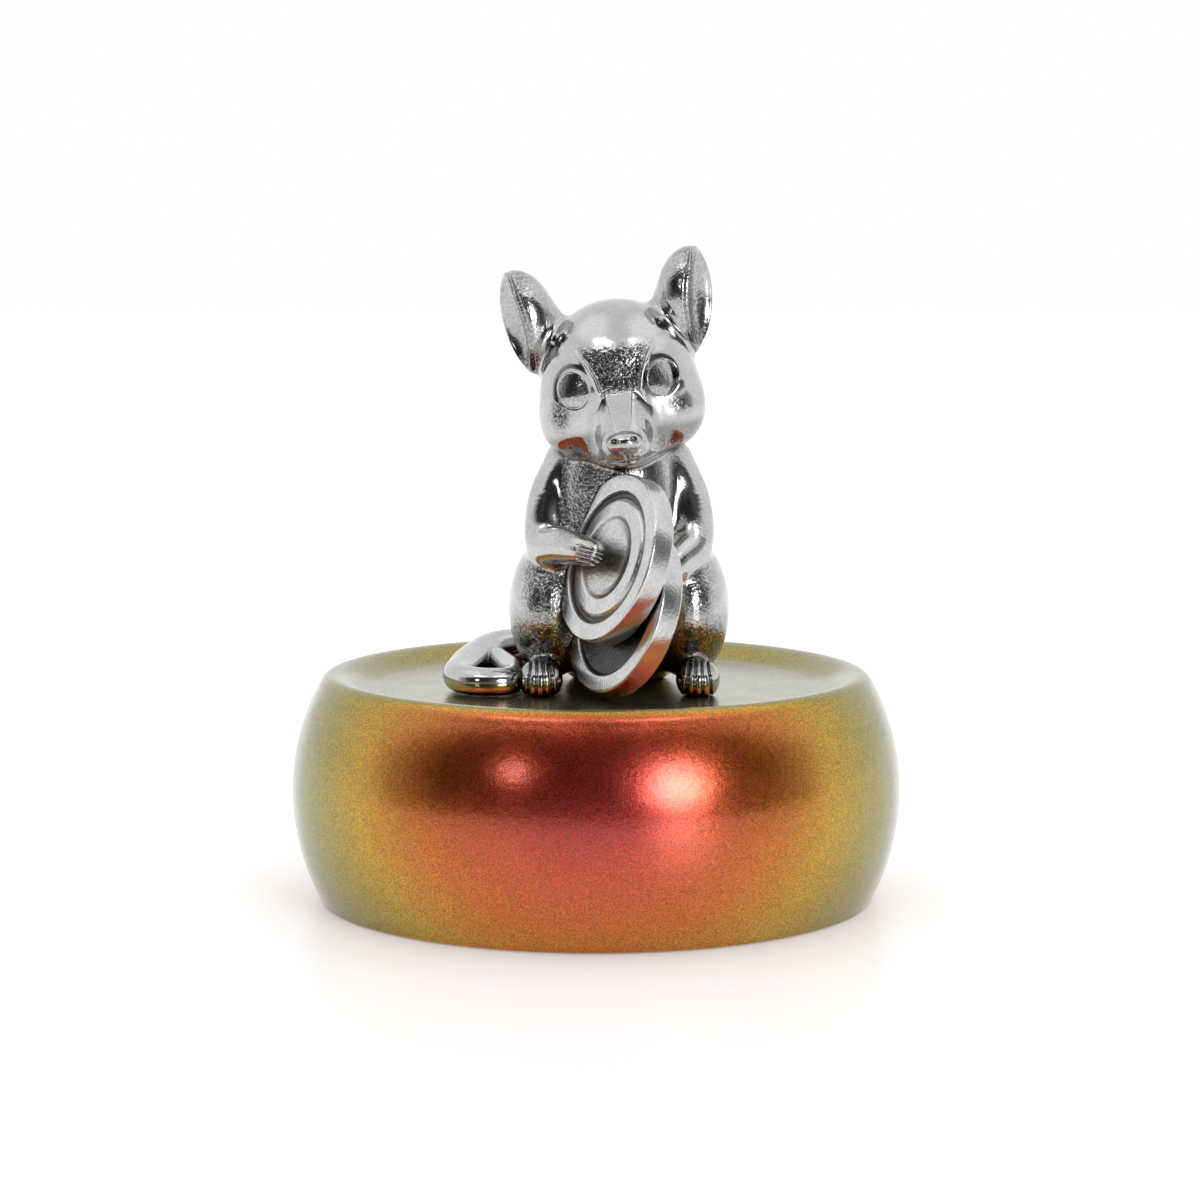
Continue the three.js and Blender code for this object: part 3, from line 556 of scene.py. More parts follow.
def clear_of(form, *solids):
    """A form cut back where other solids sit in it."""

    def cut(points):
        gap = form(points)
        for solid in solids:
            gap = np.maximum(gap, COIN_CLEARANCE - solid(points))
        return gap

    return cut


# Meshes from forms

def grid_of(low, counts, pitch):
    axes = [low[k] + np.arange(counts[k], dtype=np.float32) * pitch for k in range(3)]
    return np.stack(np.meshgrid(*axes, indexing="ij"), -1).astype(np.float32)


def in_slices(form, points, size=60000):
    """A form measured at many points, a slice at a time."""
    slices = [points[i:i + size] for i in range(0, len(points), size)]
    with ThreadPoolExecutor(WORKERS) as workers:
        values = list(workers.map(form, slices))
    return np.concatenate(values).astype(np.float32)


def slope_of(form, points, feel):
    slopes = np.empty_like(points)
    for k in range(3):
        nudge = np.zeros(3, np.float32)
        nudge[k] = feel
        slopes[:, k] = (in_slices(form, points + nudge) - in_slices(form, points - nudge)) / (2 * feel)
    return slopes


def skin_of(form, low, high, pitch, feel):
    """The skin of a form: corner places, four-sided faces and the way each corner looks."""
    band = 3 * pitch
    low = np.asarray(low, np.float32)
    wide = pitch * COARSE
    counts = np.ceil((np.asarray(high) - low) / wide).astype(int) + 1
    rough = in_slices(form, grid_of(low, counts, wide).reshape(-1, 3)).reshape(counts)
    fine_counts = (counts - 1) * COARSE + 1
    nearest = [np.minimum((np.arange(n) + COARSE // 2) // COARSE, counts[k] - 1)
               for k, n in enumerate(fine_counts)]
    spread = rough[np.ix_(*nearest)]
    values = np.clip(spread, -band, band).astype(np.float32)
    close = np.abs(spread) < wide * 1.9
    index = np.argwhere(close)
    measured = in_slices(form, low + index.astype(np.float32) * pitch)
    values[close] = np.clip(measured, -band, band)
    grid = openvdb.FloatGrid(band)
    grid.copyFromArray(values)
    corners, faces = grid.convertToQuads(0.0)
    corners = low + np.asarray(corners, np.float32) * pitch
    faces = np.asarray(faces, np.int32)
    for _ in range(2):
        slopes = slope_of(form, corners, pitch * 0.3)
        steepness = np.maximum((slopes * slopes).sum(-1), 0.05)
        shift = np.clip(in_slices(form, corners) / steepness, -pitch * 0.6, pitch * 0.6)
        corners -= shift[:, None] * slopes
    looks = slope_of(form, corners, feel)
    looks /= np.maximum(np.linalg.norm(looks, axis=1, keepdims=True), 1e-6)
    a, b, c = (corners[faces[:, k]] for k in range(3))
    turned_out = (np.cross(b - a, c - a) * looks[faces[:, 0]]).sum(-1).sum() > 0
    if not turned_out:
        faces = faces[:, ::-1].copy()
    return corners, faces, looks


def openness(points, looks):
    """1 out in the open, towards 0 down in a hollow."""
    total = np.zeros(len(points), np.float32)
    for reach in OPENNESS_REACHES:
        total += np.clip(in_slices(all_forms, points + looks * reach) / reach, 0, 1)
    return total / len(OPENNESS_REACHES)


def new_mesh_piece(name, places, faces):
    """A mesh object from places in the figure's frame and four-sided faces."""
    mesh = bpy.data.meshes.new(name)
    count = len(faces)
    mesh.vertices.add(len(places))
    mesh.vertices.foreach_set("co", ((places + FIGURE_PLACE) * MM).astype(np.float32).ravel())
    mesh.loops.add(count * 4)
    mesh.loops.foreach_set("vertex_index", np.ascontiguousarray(faces, np.int32).ravel())
    mesh.polygons.add(count)
    mesh.polygons.foreach_set("loop_start", np.arange(count, dtype=np.int32) * 4)
    mesh.update(calc_edges=True)
    mesh.polygons.foreach_set("use_smooth", np.ones(count, bool))
    mesh.validate()
    piece = bpy.data.objects.new(name, mesh)
    scene.collection.objects.link(piece)
    return piece


def set_mask(piece, name, values):
    mask = piece.data.attributes.new(name, "FLOAT", "POINT")
    mask.data.foreach_set("value", np.ascontiguousarray(values, np.float32))


def finish_piece(piece, node, material):
    piece.data.materials.append(material)
    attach(piece, "root")
    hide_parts(node)


def cast(node, form, low, high, pitch, feel, grain, material):
    """A pewter casting that stands for a node. feel is how far apart its slope is measured for shading."""
    places, faces, looks = skin_of(form, low, high, pitch, feel)
    piece = new_mesh_piece(node + "_casting", places, faces)
    piece.data.normals_split_custom_set_from_vertices(looks.tolist())
    # grain gives the grit mask, whose colour is darkened as a painted dark reflection, and the painted
    # shade mask.
    sanded_and_painted_dark, painted_shade = grain(places)
    # Painted shade: the openness measure darkens hollows, creases and joins, and the painted shade mask
    # darkens them further.
    set_mask(piece, "painted_shade_openness", openness(places, looks) * (1 - painted_shade))
    set_mask(piece, "sanded_and_painted_dark", sanded_and_painted_dark)
    finish_piece(piece, node, material)


# How far each casting is left gritty instead of polished, with its colour there darkened as a painted dark
# reflection, and how much painted shade it gets, from 0 to 1

def head_finish_and_painted_shade(points):
    """Gritty brow patch, eyes, chin and a spot under each eye, their colour darkened as a painted dark
    reflection; painted shade on the underside of the jaw, and more painted dark reflection on the two
    spots.
    """
    local = in_head(points)
    x, y, z = local[:, 0], local[:, 1], local[:, 2]
    half = np.interp(z, BROW_HEIGHTS, BROW_HALF_WIDTHS)
    ragged = 0.35 * np.sin(2.3 * x + 0.7) * np.sin(1.1 * x)
    patch = step(np.abs(x - BROW_SHIFT), half + 0.25, half - 0.25) * step(z, -1.0, -0.4)
    patch *= step(z + ragged, 6.0, 4.0) * step(-y, 1, 3)
    sockets = np.zeros_like(x)
    for side in (LEFT, RIGHT):
        reach = np.hypot((side * x - EYE_ACROSS) / EYE_HALF_WIDTH, (z - EYE_UP) / EYE_HALF_HEIGHT)
        sockets = np.maximum(sockets, 0.3 * step(reach, 1.1, 0.9) * step(-y, 1, 3))
    # Painted dark reflections: a dark spot under each eye.
    under_left_eye = np.minimum(1.5 * bump_at(x + 7.9, z + 2.6, 0.95, 1.6), 1)
    under_right_eye = np.minimum(1.6 * bump_at(x - 7.45, z + 3.3, 0.8, 0.8), 1)
    chin = 0.4 * step(z, -5.5, -8.5)
    sanded_and_painted_dark = np.maximum.reduce((patch, sockets, under_left_eye, under_right_eye, chin))
    # Painted shade on the underside of the jaw.
    jaw = step(z, -4.6, -6.2) * step(np.abs(x), 3.2, 4.6)
    painted_reflection_spots = np.maximum(under_left_eye, under_right_eye)
    return sanded_and_painted_dark, np.maximum.reduce((0.15 * patch, 0.9 * painted_reflection_spots, 0.65 * jaw))


def ear_finish_and_painted_shade(points):
    """Light grit, more towards the head, its colour darkened as a painted dark reflection; painted shade
    at the foot, which faces down.
    """
    local = in_head(points)
    apart = np.abs(local[:, 0])
    medial = step(apart, 13.0, 11.0) * step(apart, 8.6, 10.2)
    # Painted shade at the ear's foot, which faces down.
    foot = step(local[:, 2], 7.0, 4.5)
    return np.maximum(0.18 + 0.3 * medial, 0.6 * foot), 0.85 * foot


def torso_finish_and_painted_shade(points):
    """Gritty chest and haunches, their colour darkened as a painted dark reflection, and painted shade in
    the hollow low down between the legs and, a little, on the haunches.
    """
    x, y, z = points[:, 0], points[:, 1], points[:, 2]
    apart = np.abs(x)
    front = step(-y, -2.0, 1.5)
    chest = 0.8 * step(z, 17.5, 20) * front * (1 - 0.75 * step(x, 1.0, 4.5))
    haunch = step(apart, 13.2, 11.4) * front * step(z, 18.0, 16.0) * step(z, 8.0, 12.0)
    haunch *= np.where(x < 0, 1.0, 0.6)
    # Painted shade low down between the legs.
    low = step(apart, 17.0, 13.6) * step(z, 12.5, 7.5) * step(-y, -5.0, 0.0)
    painted_shade = np.maximum((0.66 + 0.3 * step(z, 9.0, 6.0)) * low, 0.3 * haunch)
    return np.maximum.reduce((chest, 0.85 * haunch, 0.6 * low)), painted_shade


def foot_finish_and_painted_shade(points):
    """Painted shade, with some grit, above, where the foot runs in under the belly."""
    upper = step(points[:, 2], 2.4, 4.4)
    return 0.4 * upper, 0.75 * upper


def arm_finish_and_painted_dark(points):
    """Gritty on the inner side of the upper arm, more so on the left, its colour there darkened as a
    painted dark reflection.
    """
    x, y, z = points[:, 0], points[:, 1], points[:, 2]
    outer = np.where(x < 0, 7.9, 9.1) - 0.12 * np.clip(z - 24, 0, 8)
    inside = step(np.abs(x), outer + 0.6, outer - 0.6)
    sanded_and_painted_dark = inside * step(-y, -2.0, 0.0) * step(z, 20.0, 22.0)
    return sanded_and_painted_dark * np.where(x < 0, 0.85, 0.22), np.zeros(len(points), np.float32)


def tail_finish_and_painted_shade(points):
    """Painted shade, with some grit, where the tail leaves the rump."""
    near_rump = step(points[:, 0], -14.5, -11.5)
    return 0.3 * near_rump, 0.5 * near_rump


# Turned pieces

def turned_piece(name, profile, facets, place, axis):
    """A piece turned about an axis from a closed profile of radius and height."""
    profile = np.asarray(profile, float)
    axis = np.asarray(axis, float)
    side = np.cross((0.0, 1.0, 0.0), axis)
    side /= np.linalg.norm(side)
    other = np.cross(axis, side)
    angles = np.arange(facets) / facets * 2 * math.pi
    rays = np.cos(angles)[:, None] * side + np.sin(angles)[:, None] * other
    rings = profile[1:-1]
    places = place + rings[:, None, :1] * rays[None] + rings[:, None, 1:] * axis
    places = places.reshape(-1, 3)
    mesh = bpy.data.meshes.new(name)
    foot = len(places)
    places = np.vstack((places, place + axis * profile[0][1], place + axis * profile[-1][1]))
    faces = []
    for ring in range(len(rings) - 1):
        for facet in range(facets):
            following = (facet + 1) % facets
            start = ring * facets
            above = start + facets
            faces.append((start + facet, start + following, above + following, above + facet))
    last = (len(rings) - 1) * facets
    for facet in range(facets):
        following = (facet + 1) % facets
        faces.append((foot, following, facet))
        faces.append((foot + 1, last + facet, last + following))
    mesh.from_pydata(((places + FIGURE_PLACE) * MM).tolist(), [], faces)
    mesh.polygons.foreach_set("use_smooth", np.ones(len(faces), bool))
    mesh.set_sharp_from_angle(angle=math.radians(32))
    mesh.update()
    piece = bpy.data.objects.new(name, mesh)
    scene.collection.objects.link(piece)
    return piece, places


def arc(centre, radius, start, end, count):
    angles = np.linspace(start, end, count)
    return [(centre[0] + radius * math.cos(a), centre[1] + radius * math.sin(a)) for a in angles]


def bend(start, corner, end, share):
    """A place on the curve that leaves start towards corner and comes to end from it."""
    return tuple(start * (1 - share) ** 2 + corner * 2 * share * (1 - share) + end * share ** 2)


def rounded(points, radius, count=5):
    """A profile with its inner corners rounded off."""
    points = [np.asarray(p, float) for p in points]
    soft = [tuple(points[0])]
    for before, corner, after in zip(points, points[1:], points[2:]):
        to_before = before - corner
        to_after = after - corner
        reach = min(radius, np.linalg.norm(to_before) * 0.45, np.linalg.norm(to_after) * 0.45)
        start = corner + to_before / np.linalg.norm(to_before) * reach
        end = corner + to_after / np.linalg.norm(to_after) * reach
        for share in np.linspace(0, 1, count):
            soft.append(bend(start, corner, end, share))
    soft.append(tuple(points[-1]))
    return soft


def base_profile():
    """Pad recess, sole, barrel side, lip, cove and dish floor, from the axis below to the axis above."""
    barrel_centre = (BASE_RADIUS - BARREL_ARC, BARREL_MIDDLE)
    lowest = math.asin((BASE_FOOT + 0.6 - BARREL_MIDDLE) / BARREL_ARC)
    highest = math.asin((BASE_TOP - 1.5 - BARREL_MIDDLE) / BARREL_ARC)
    barrel = arc(barrel_centre, BARREL_ARC, lowest, highest, 60)
    foot = barrel[0][0]
    start = np.array(barrel[-1])
    corner = np.array((start[0] - 0.68, BASE_TOP))
    crest = np.array((CREST_RADIUS, BASE_TOP))
    lip = [bend(start, corner, crest, share) for share in np.linspace(0.1, 1, 10)]
    cove = []
    for share in np.linspace(0.08, 1, 14):
        radius = CREST_RADIUS + (DISH_RADIUS - CREST_RADIUS) * share
        fall = (1 - math.cos(math.pi * share)) / 2
        cove.append((radius, BASE_TOP - (BASE_TOP - DISH_FLOOR) * fall))
    floor = [(radius, DISH_FLOOR) for radius in (24.0, 16.0, 8.0, 2.0)]
    under = [(0, PAD_RECESS_TOP), (PAD_RECESS_RADIUS, PAD_RECESS_TOP), (PAD_RECESS_RADIUS, BASE_FOOT)]
    sole = [(foot - 0.6, BASE_FOOT), (foot - 0.2, BASE_FOOT + 0.12)]
    return under + sole + barrel + lip + cove + floor + [(0, DISH_FLOOR)]


def coin_profile(dished):
    """Rim, groove and inner disc; the front coin's disc is dished where the paw holds it."""
    back = -COIN_THICK
    corners = [(0, back + 0.7), (8.0, back + 0.7), (8.5, back), (COIN_RADIUS, back), (COIN_RADIUS, 0)]
    corners += [(8.7, 0), (8.45, -0.7), (8.0, -0.75)]
    if dished:
        corners += [(7.5, -0.2), (5.6, -0.05), (5.0, -0.4), (4.0, -0.62), (2.0, -0.72), (0, -0.75)]
    else:
        corners += [(5.5, -0.8), (2.5, -0.8), (0, -0.8)]
    return rounded(corners, 0.34)


def coin_painted_shade_openness(offsets, dished):
    """Painted light for the coins: 1 on the rim and edge, less where shade is painted, in the groove, in
    the hollow of the front coin's disc and over the rear coin's recessed disc.
    """
    height = offsets @ COIN_FACING
    across = np.sqrt(np.maximum((offsets * offsets).sum(-1) - height * height, 0))
    groove = step(across, 7.5, 8.0) * step(across, 8.75, 8.5)
    if dished:
        # A little painted shade in the dish of the front coin, where the paw holds it.
        hollow = 0.12 * step(across, 5.2, 2.0)
    else:
        # Painted shadow: the rear coin's recessed disc, behind the front coin, is darkened all over.
        hollow = 0.85 * step(across, 8.6, 8.2)
    struck = step(height, -2.0, -1.4)
    return 1 - np.maximum(0.85 * groove, hollow) * struck


# Materials

def new_material(name):
    material = bpy.data.materials.new(name)
    material.use_nodes = True
    tree = material.node_tree
    shader = tree.nodes["Principled BSDF"]
    return material, tree, shader


def node(tree, kind, **values):
    """A shader node with its settings and unlinked inputs filled in."""
    made = tree.nodes.new(kind)
    for key, value in values.items():
        if hasattr(made, key):
            setattr(made, key, value)
        else:
            made.inputs[key.replace("_", " ")].default_value = value
    return made


def ramp(tree, stops, source):
    """A colour ramp from (place, colour) stops."""
    made = tree.nodes.new("ShaderNodeValToRGB")
    elements = made.color_ramp.elements
    while len(elements) > 1:
        elements.remove(elements[-1])
    elements[0].position, elements[0].color = stops[0]
    for place, colour in stops[1:]:
        elements.new(place).color = colour
    tree.links.new(source, made.inputs["Fac"])
    return made.outputs["Color"]


def scaled(tree, source, from_low, from_high, to_low, to_high):
    made = tree.nodes.new("ShaderNodeMapRange")
    made.interpolation_type = "SMOOTHSTEP"
    made.inputs["From Min"].default_value = from_low
    made.inputs["From Max"].default_value = from_high
    made.inputs["To Min"].default_value = to_low
    made.inputs["To Max"].default_value = to_high
    tree.links.new(source, made.inputs["Value"])
    return made.outputs["Result"]


def math_node(tree, operation, first, second):
    made = tree.nodes.new("ShaderNodeMath")
    made.operation = operation
    for socket, value in zip(made.inputs, (first, second)):
        if isinstance(value, (int, float)):
            socket.default_value = value
        else:
            tree.links.new(value, socket)
    return made.outputs["Value"]


def noise(tree, place, scale, detail):
    made = node(tree, "ShaderNodeTexNoise")
    made.inputs["Scale"].default_value = scale
    made.inputs["Detail"].default_value = detail
    tree.links.new(place, made.inputs["Vector"])
    return made.outputs["Fac"]


def speckle_group():
    """Fine grain at a chosen size: a height from 0 to 1 and a slower patchiness."""
    group = bpy.data.node_groups.new("speckle", "ShaderNodeTree")
    group.interface.new_socket("Grains per metre", in_out="INPUT", socket_type="NodeSocketFloat")
    group.interface.new_socket("Height", in_out="OUTPUT", socket_type="NodeSocketFloat")
    group.interface.new_socket("Patches", in_out="OUTPUT", socket_type="NodeSocketFloat")
    inward = group.nodes.new("NodeGroupInput")
    outward = group.nodes.new("NodeGroupOutput")
    place = group.nodes.new("ShaderNodeTexCoord").outputs["Object"]
    fine = group.nodes.new("ShaderNodeTexNoise")
    fine.inputs["Detail"].default_value = 1.0
    fine.inputs["Roughness"].default_value = 0.6
    group.links.new(place, fine.inputs["Vector"])
    group.links.new(inward.outputs[0], fine.inputs["Scale"])
    slow = group.nodes.new("ShaderNodeTexNoise")
    slow.inputs["Detail"].default_value = 3.0
    group.links.new(place, slow.inputs["Vector"])
    slower = math_node(group, "MULTIPLY", inward.outputs[0], 0.05)
    group.links.new(slower, slow.inputs["Scale"])
    group.links.new(fine.outputs["Fac"], outward.inputs["Height"])
    group.links.new(slow.outputs["Fac"], outward.inputs["Patches"])
    return group


SPECKLE = speckle_group()


def speckle(tree, grains):
    made = tree.nodes.new("ShaderNodeGroup")
    made.node_tree = SPECKLE
    made.inputs["Grains per metre"].default_value = grains
    return made.outputs["Height"], made.outputs["Patches"]


def bumped(tree, shader, height, distance, strength):
    bump = tree.nodes.new("ShaderNodeBump")
    bump.inputs["Distance"].default_value = distance
    bump.inputs["Strength"].default_value = strength
    tree.links.new(height, bump.inputs["Height"])
    tree.links.new(bump.outputs["Normal"], shader.inputs["Normal"])
    return bump


def mixed_colour(tree, share, under, over):
    """One colour laid over another, by a share from 0 to 1."""
    made = node(tree, "ShaderNodeMix", data_type="RGBA")
    sockets = {socket.identifier: socket for socket in made.inputs}
    tree.links.new(share, sockets["Factor_Float"])
    tree.links.new(under, sockets["A_Color"])
    tree.links.new(over, sockets["B_Color"])
    return [socket for socket in made.outputs if socket.type == "RGBA"][0]


def polish_group():
    """Uneven hand polish: a height from slow waves and fine grain, the grain, and a mottling near 1."""
    group = bpy.data.node_groups.new("hand_polish", "ShaderNodeTree")
    group.interface.new_socket("Grain depth", in_out="INPUT", socket_type="NodeSocketFloat")
    group.interface.new_socket("Height", in_out="OUTPUT", socket_type="NodeSocketFloat")
    group.interface.new_socket("Grain", in_out="OUTPUT", socket_type="NodeSocketFloat")
    group.interface.new_socket("Mottling", in_out="OUTPUT", socket_type="NodeSocketFloat")
    inward = group.nodes.new("NodeGroupInput")
    outward = group.nodes.new("NodeGroupOutput")
    place = group.nodes.new("ShaderNodeTexCoord").outputs["Object"]
    grain = noise(group, place, 2700, 1.0)
    waves = noise(group, place, 420, 2.0)
    dents = noise(group, place, 1100, 1.0)
    fine = math_node(group, "MULTIPLY", grain, inward.outputs["Grain depth"])
    broad = math_node(group, "MULTIPLY", waves, 0.26)
    small = math_node(group, "MULTIPLY", dents, 0.04)
    rolling = math_node(group, "ADD", broad, small)
    group.links.new(math_node(group, "ADD", fine, rolling), outward.inputs["Height"])
    group.links.new(grain, outward.inputs["Grain"])
    cloudy = math_node(group, "MULTIPLY", waves, 0.5)
    specks = math_node(group, "MULTIPLY", grain, 0.5)
    clouds = math_node(group, "ADD", cloudy, specks)
    group.links.new(scaled(group, clouds, 0.3, 0.7, 0.90, 1.08), outward.inputs["Mottling"])
    return group


HAND_POLISH = polish_group()


def hand_polish(tree, depth):
    made = tree.nodes.new("ShaderNodeGroup")
    made.node_tree = HAND_POLISH
    tree.links.new(depth, made.inputs["Grain depth"])
    return made.outputs["Height"], made.outputs["Grain"], made.outputs["Mottling"]


def dimmed(tree, colour, share):
    """A colour made lighter or darker by a share near 1."""
    made = tree.nodes.new("ShaderNodeVectorMath")
    made.operation = "SCALE"
    tree.links.new(colour, made.inputs[0])
    tree.links.new(share, made.inputs["Scale"])
    return made.outputs["Vector"]


def pewter_casting():
    """Polished pewter with painted shade in its hollows, and gritty where left unpolished, its colour
    there darkened as a painted dark reflection.
    """
    material, tree, shader = new_material("pewter_casting")
    shader.inputs["Metallic"].default_value = 1.0
    painted_shade_openness = node(tree, "ShaderNodeAttribute", attribute_name="painted_shade_openness").outputs["Fac"]
    sanded_and_painted_dark = node(tree, "ShaderNodeAttribute", attribute_name="sanded_and_painted_dark").outputs["Fac"]
    height, grain, mottling = hand_polish(tree, scaled(tree, sanded_and_painted_dark, 0.0, 1.0, 0.06, 0.95))
    # Painted shade: the colour darkens from 0.53 out in the open to 0.17 deep in hollows and creases.
    polish = ramp(tree, (
        (0.10, (0.17, 0.165, 0.16, 1)),
        (0.50, (0.41, 0.406, 0.398, 1)),
        (0.85, (0.53, 0.528, 0.52, 1)),
    ), painted_shade_openness)
    # Grit colour, darker overall than the polish: a painted dark reflection with grain in it.
    grit_painted_dark = ramp(tree, (
        (0.40, (0.05, 0.049, 0.048, 1)),
        (0.62, (0.46, 0.455, 0.445, 1)),
    ), grain)
    share = math_node(tree, "MULTIPLY", sanded_and_painted_dark, 0.9)
    colour = mixed_colour(tree, share, dimmed(tree, polish, mottling), grit_painted_dark)
    tree.links.new(colour, shader.inputs["Base Color"])
    sheen = scaled(tree, mottling, 0.90, 1.08, 0.135, 0.095)
    matte = scaled(tree, sanded_and_painted_dark, 0.0, 1.0, 0.0, 0.10)
    tree.links.new(math_node(tree, "ADD", sheen, matte), shader.inputs["Roughness"])
    bumped(tree, shader, height, BUMP_DEPTH, 1.0)
    return material


def pewter_coin():
    """Polished pewter for the coins, rougher and gritty in the groove, with painted shade in the groove,
    the front coin's dish and on the rear coin's recessed face.
    """
    material, tree, shader = new_material("pewter_coin")
    shader.inputs["Metallic"].default_value = 1.0
    painted_shade_openness = node(tree, "ShaderNodeAttribute", attribute_name="painted_shade_openness").outputs["Fac"]
    height, _, mottling = hand_polish(tree, scaled(tree, painted_shade_openness, 0.2, 0.8, 0.8, 0.2))
    # Painted shade: the colour darkens from 0.62 on the rim to 0.12 where the mask is lowest.
    colour = ramp(tree, (
        (0.15, (0.12, 0.117, 0.114, 1)),
        (0.6, (0.44, 0.435, 0.425, 1)),
        (0.85, (0.62, 0.617, 0.61, 1)),
    ), painted_shade_openness)
    tree.links.new(dimmed(tree, colour, mottling), shader.inputs["Base Color"])
    dull = scaled(tree, painted_shade_openness, 0.2, 0.8, 0.16, 0.0)
    sheen = scaled(tree, mottling, 0.90, 1.08, 0.27, 0.21)
    tree.links.new(math_node(tree, "ADD", sheen, dull), shader.inputs["Roughness"])
    bumped(tree, shader, height, BUMP_DEPTH, 1.0)
    return material


def colour_shift_lacquer_with_painted_sheen():
    """Flake lacquer that shifts with the view: crimson face on, then gold and olive, and a painted sheen
    of grey at a glancing view.
    """
    material, tree, shader = new_material("colour_shift_lacquer_with_painted_sheen")
    facing = node(tree, "ShaderNodeLayerWeight", Blend=0.5).outputs["Facing"]
    height, patches = speckle(tree, 4200)
    cells = node(tree, "ShaderNodeTexVoronoi", Scale=8600.0)
    tree.links.new(tree.nodes.new("ShaderNodeTexCoord").outputs["Object"], cells.inputs["Vector"])
    flake = node(tree, "ShaderNodeSeparateColor")
    tree.links.new(cells.outputs["Color"], flake.inputs["Color"])
    shift = math_node(tree, "MULTIPLY", math_node(tree, "SUBTRACT", flake.outputs["Red"], 0.5), 0.03)
    shifted = math_node(tree, "ADD", facing, shift)
    # The colour follows the angle at which the surface is seen; the two grey stops at the glancing end are
    # a painted sheen, the pale surroundings' reflection in the dish.
    colour = ramp(tree, (
        (0.00, (0.45, 0.032, 0.024, 1)),
        (0.07, (0.50, 0.066, 0.016, 1)),
        (0.20, (0.53, 0.132, 0.004, 1)),
        (0.38, (0.46, 0.26, 0.010, 1)),
        (0.56, (0.29, 0.23, 0.018, 1)),
        (0.77, (0.19, 0.175, 0.030, 1)),
        (0.90, (0.36, 0.355, 0.27, 1)),
        (1.00, (0.46, 0.46, 0.38, 1)),
    ), shifted)
    sparkle = scaled(tree, flake.outputs["Green"], 0.0, 1.0, 0.6, 1.4)
    tree.links.new(dimmed(tree, colour, sparkle), shader.inputs["Base Color"])
    shader.inputs["Metallic"].default_value = 0.9
    rough = scaled(tree, patches, 0.3, 0.7, 0.22, 0.27)
    tree.links.new(rough, shader.inputs["Roughness"])
    shader.inputs["Coat Weight"].default_value = 0.34
    shader.inputs["Coat Roughness"].default_value = 0.16
    shader.inputs["Coat IOR"].default_value = 2.0
    peel = noise(tree, tree.nodes.new("ShaderNodeTexCoord").outputs["Object"], 900, 2.0)
    orange_peel = math_node(tree, "MULTIPLY", peel, 0.8)
    flake_grain = math_node(tree, "MULTIPLY", height, 0.25)
    both = math_node(tree, "ADD", orange_peel, flake_grain)
    bump = bumped(tree, shader, both, BUMP_DEPTH, 0.2)
    tree.links.new(bump.outputs["Normal"], shader.inputs["Coat Normal"])
    return material


def black_felt():
    """Short-napped felt for the pad."""
    material, tree, shader = new_material("black_felt")
    height, patches = speckle(tree, 2600)
    colour = ramp(tree, (
        (0.3, (0.012, 0.011, 0.011, 1)),
        (0.7, (0.045, 0.042, 0.040, 1)),
    ), height)
    tree.links.new(colour, shader.inputs["Base Color"])
    rough = scaled(tree, patches, 0.3, 0.7, 0.88, 0.98)
    tree.links.new(rough, shader.inputs["Roughness"])
    bumped(tree, shader, height, 0.0004, 0.8)
    return material


def zinc_plate():
    """Slightly patchy zinc for the screws and washers."""
    material, tree, shader = new_material("zinc_plate")
    shader.inputs["Metallic"].default_value = 1.0
    height, patches = speckle(tree, 1800)
    colour = ramp(tree, (
        (0.3, (0.45, 0.47, 0.50, 1)),
        (0.7, (0.58, 0.59, 0.60, 1)),
    ), patches)
    tree.links.new(colour, shader.inputs["Base Color"])
    rough = scaled(tree, height, 0.3, 0.7, 0.28, 0.40)
    tree.links.new(rough, shader.inputs["Roughness"])
    bumped(tree, shader, height, 0.00005, 0.3)
    return material


# Build the pieces

pewter = pewter_casting()
coin_pewter = pewter_coin()
lacquer = colour_shift_lacquer_with_painted_sheen()

drum, _ = turned_piece("base_drum_turning", base_profile(), TURNED_FACETS, -FIGURE_PLACE, (0, 0, 1))
finish_piece(drum, "base_drum", lacquer)

for coin_name, coin_place, dished in (
    ("front_coin", FRONT_COIN_PLACE, True),
    ("rear_coin", REAR_COIN_PLACE, False),
):
    coin, coin_points = turned_piece(
        coin_name + "_struck", coin_profile(dished), TURNED_FACETS // 2, coin_place, COIN_FACING)
    # Painted shade in the coins' grooves and recesses, kept as a mask for their material.
    set_mask(coin, "painted_shade_openness", coin_painted_shade_openness(coin_points - coin_place, dished))
    finish_piece(coin, coin_name, coin_pewter)

head_neighbours = [(ears[LEFT], EAR_FILLET), (ears[RIGHT], EAR_FILLET), (torso_form, NECK_FILLET)]
head_skin = clear_of(soldered(head_form, head_neighbours), front_coin, rear_coin)
cast("head", head_skin, (-13, -17, 26), (13, 11.5, 53), FINE * 0.75, 0.07, head_finish_and_painted_shade, pewter)

for side in (LEFT, RIGHT):
    ear_middle = HEAD_PLACE + HEAD_AXES @ EAR_PLACES[side]
    ear_skin = soldered(ears[side], [(head_form, EAR_FILLET)])
    cast(SIDE_NAMES[side] + "_ear", ear_skin, ear_middle - 9.5, ear_middle + 9.5,
         FINE * 0.75, 0.1, ear_finish_and_painted_shade, pewter)

torso_neighbours = [(head_form, NECK_FILLET), (tail, TAIL_FILLET)]
for side in (LEFT, RIGHT):
    torso_neighbours += [(arms[side], ARM_FILLET), (feet[side], FOOT_FILLET)]
torso_on_floor = clear_of(soldered(torso_form, torso_neighbours), front_coin, rear_coin)


def torso_skin(points):
    """The torso, cut off flat just above the dish floor."""
    return np.maximum(torso_on_floor(points), FLOOR_CLEARANCE - points[..., 2])


cast("body", torso_skin, (-16, -14, -0.5), (16, 17, 36), FINE, 0.25, torso_finish_and_painted_shade, pewter)

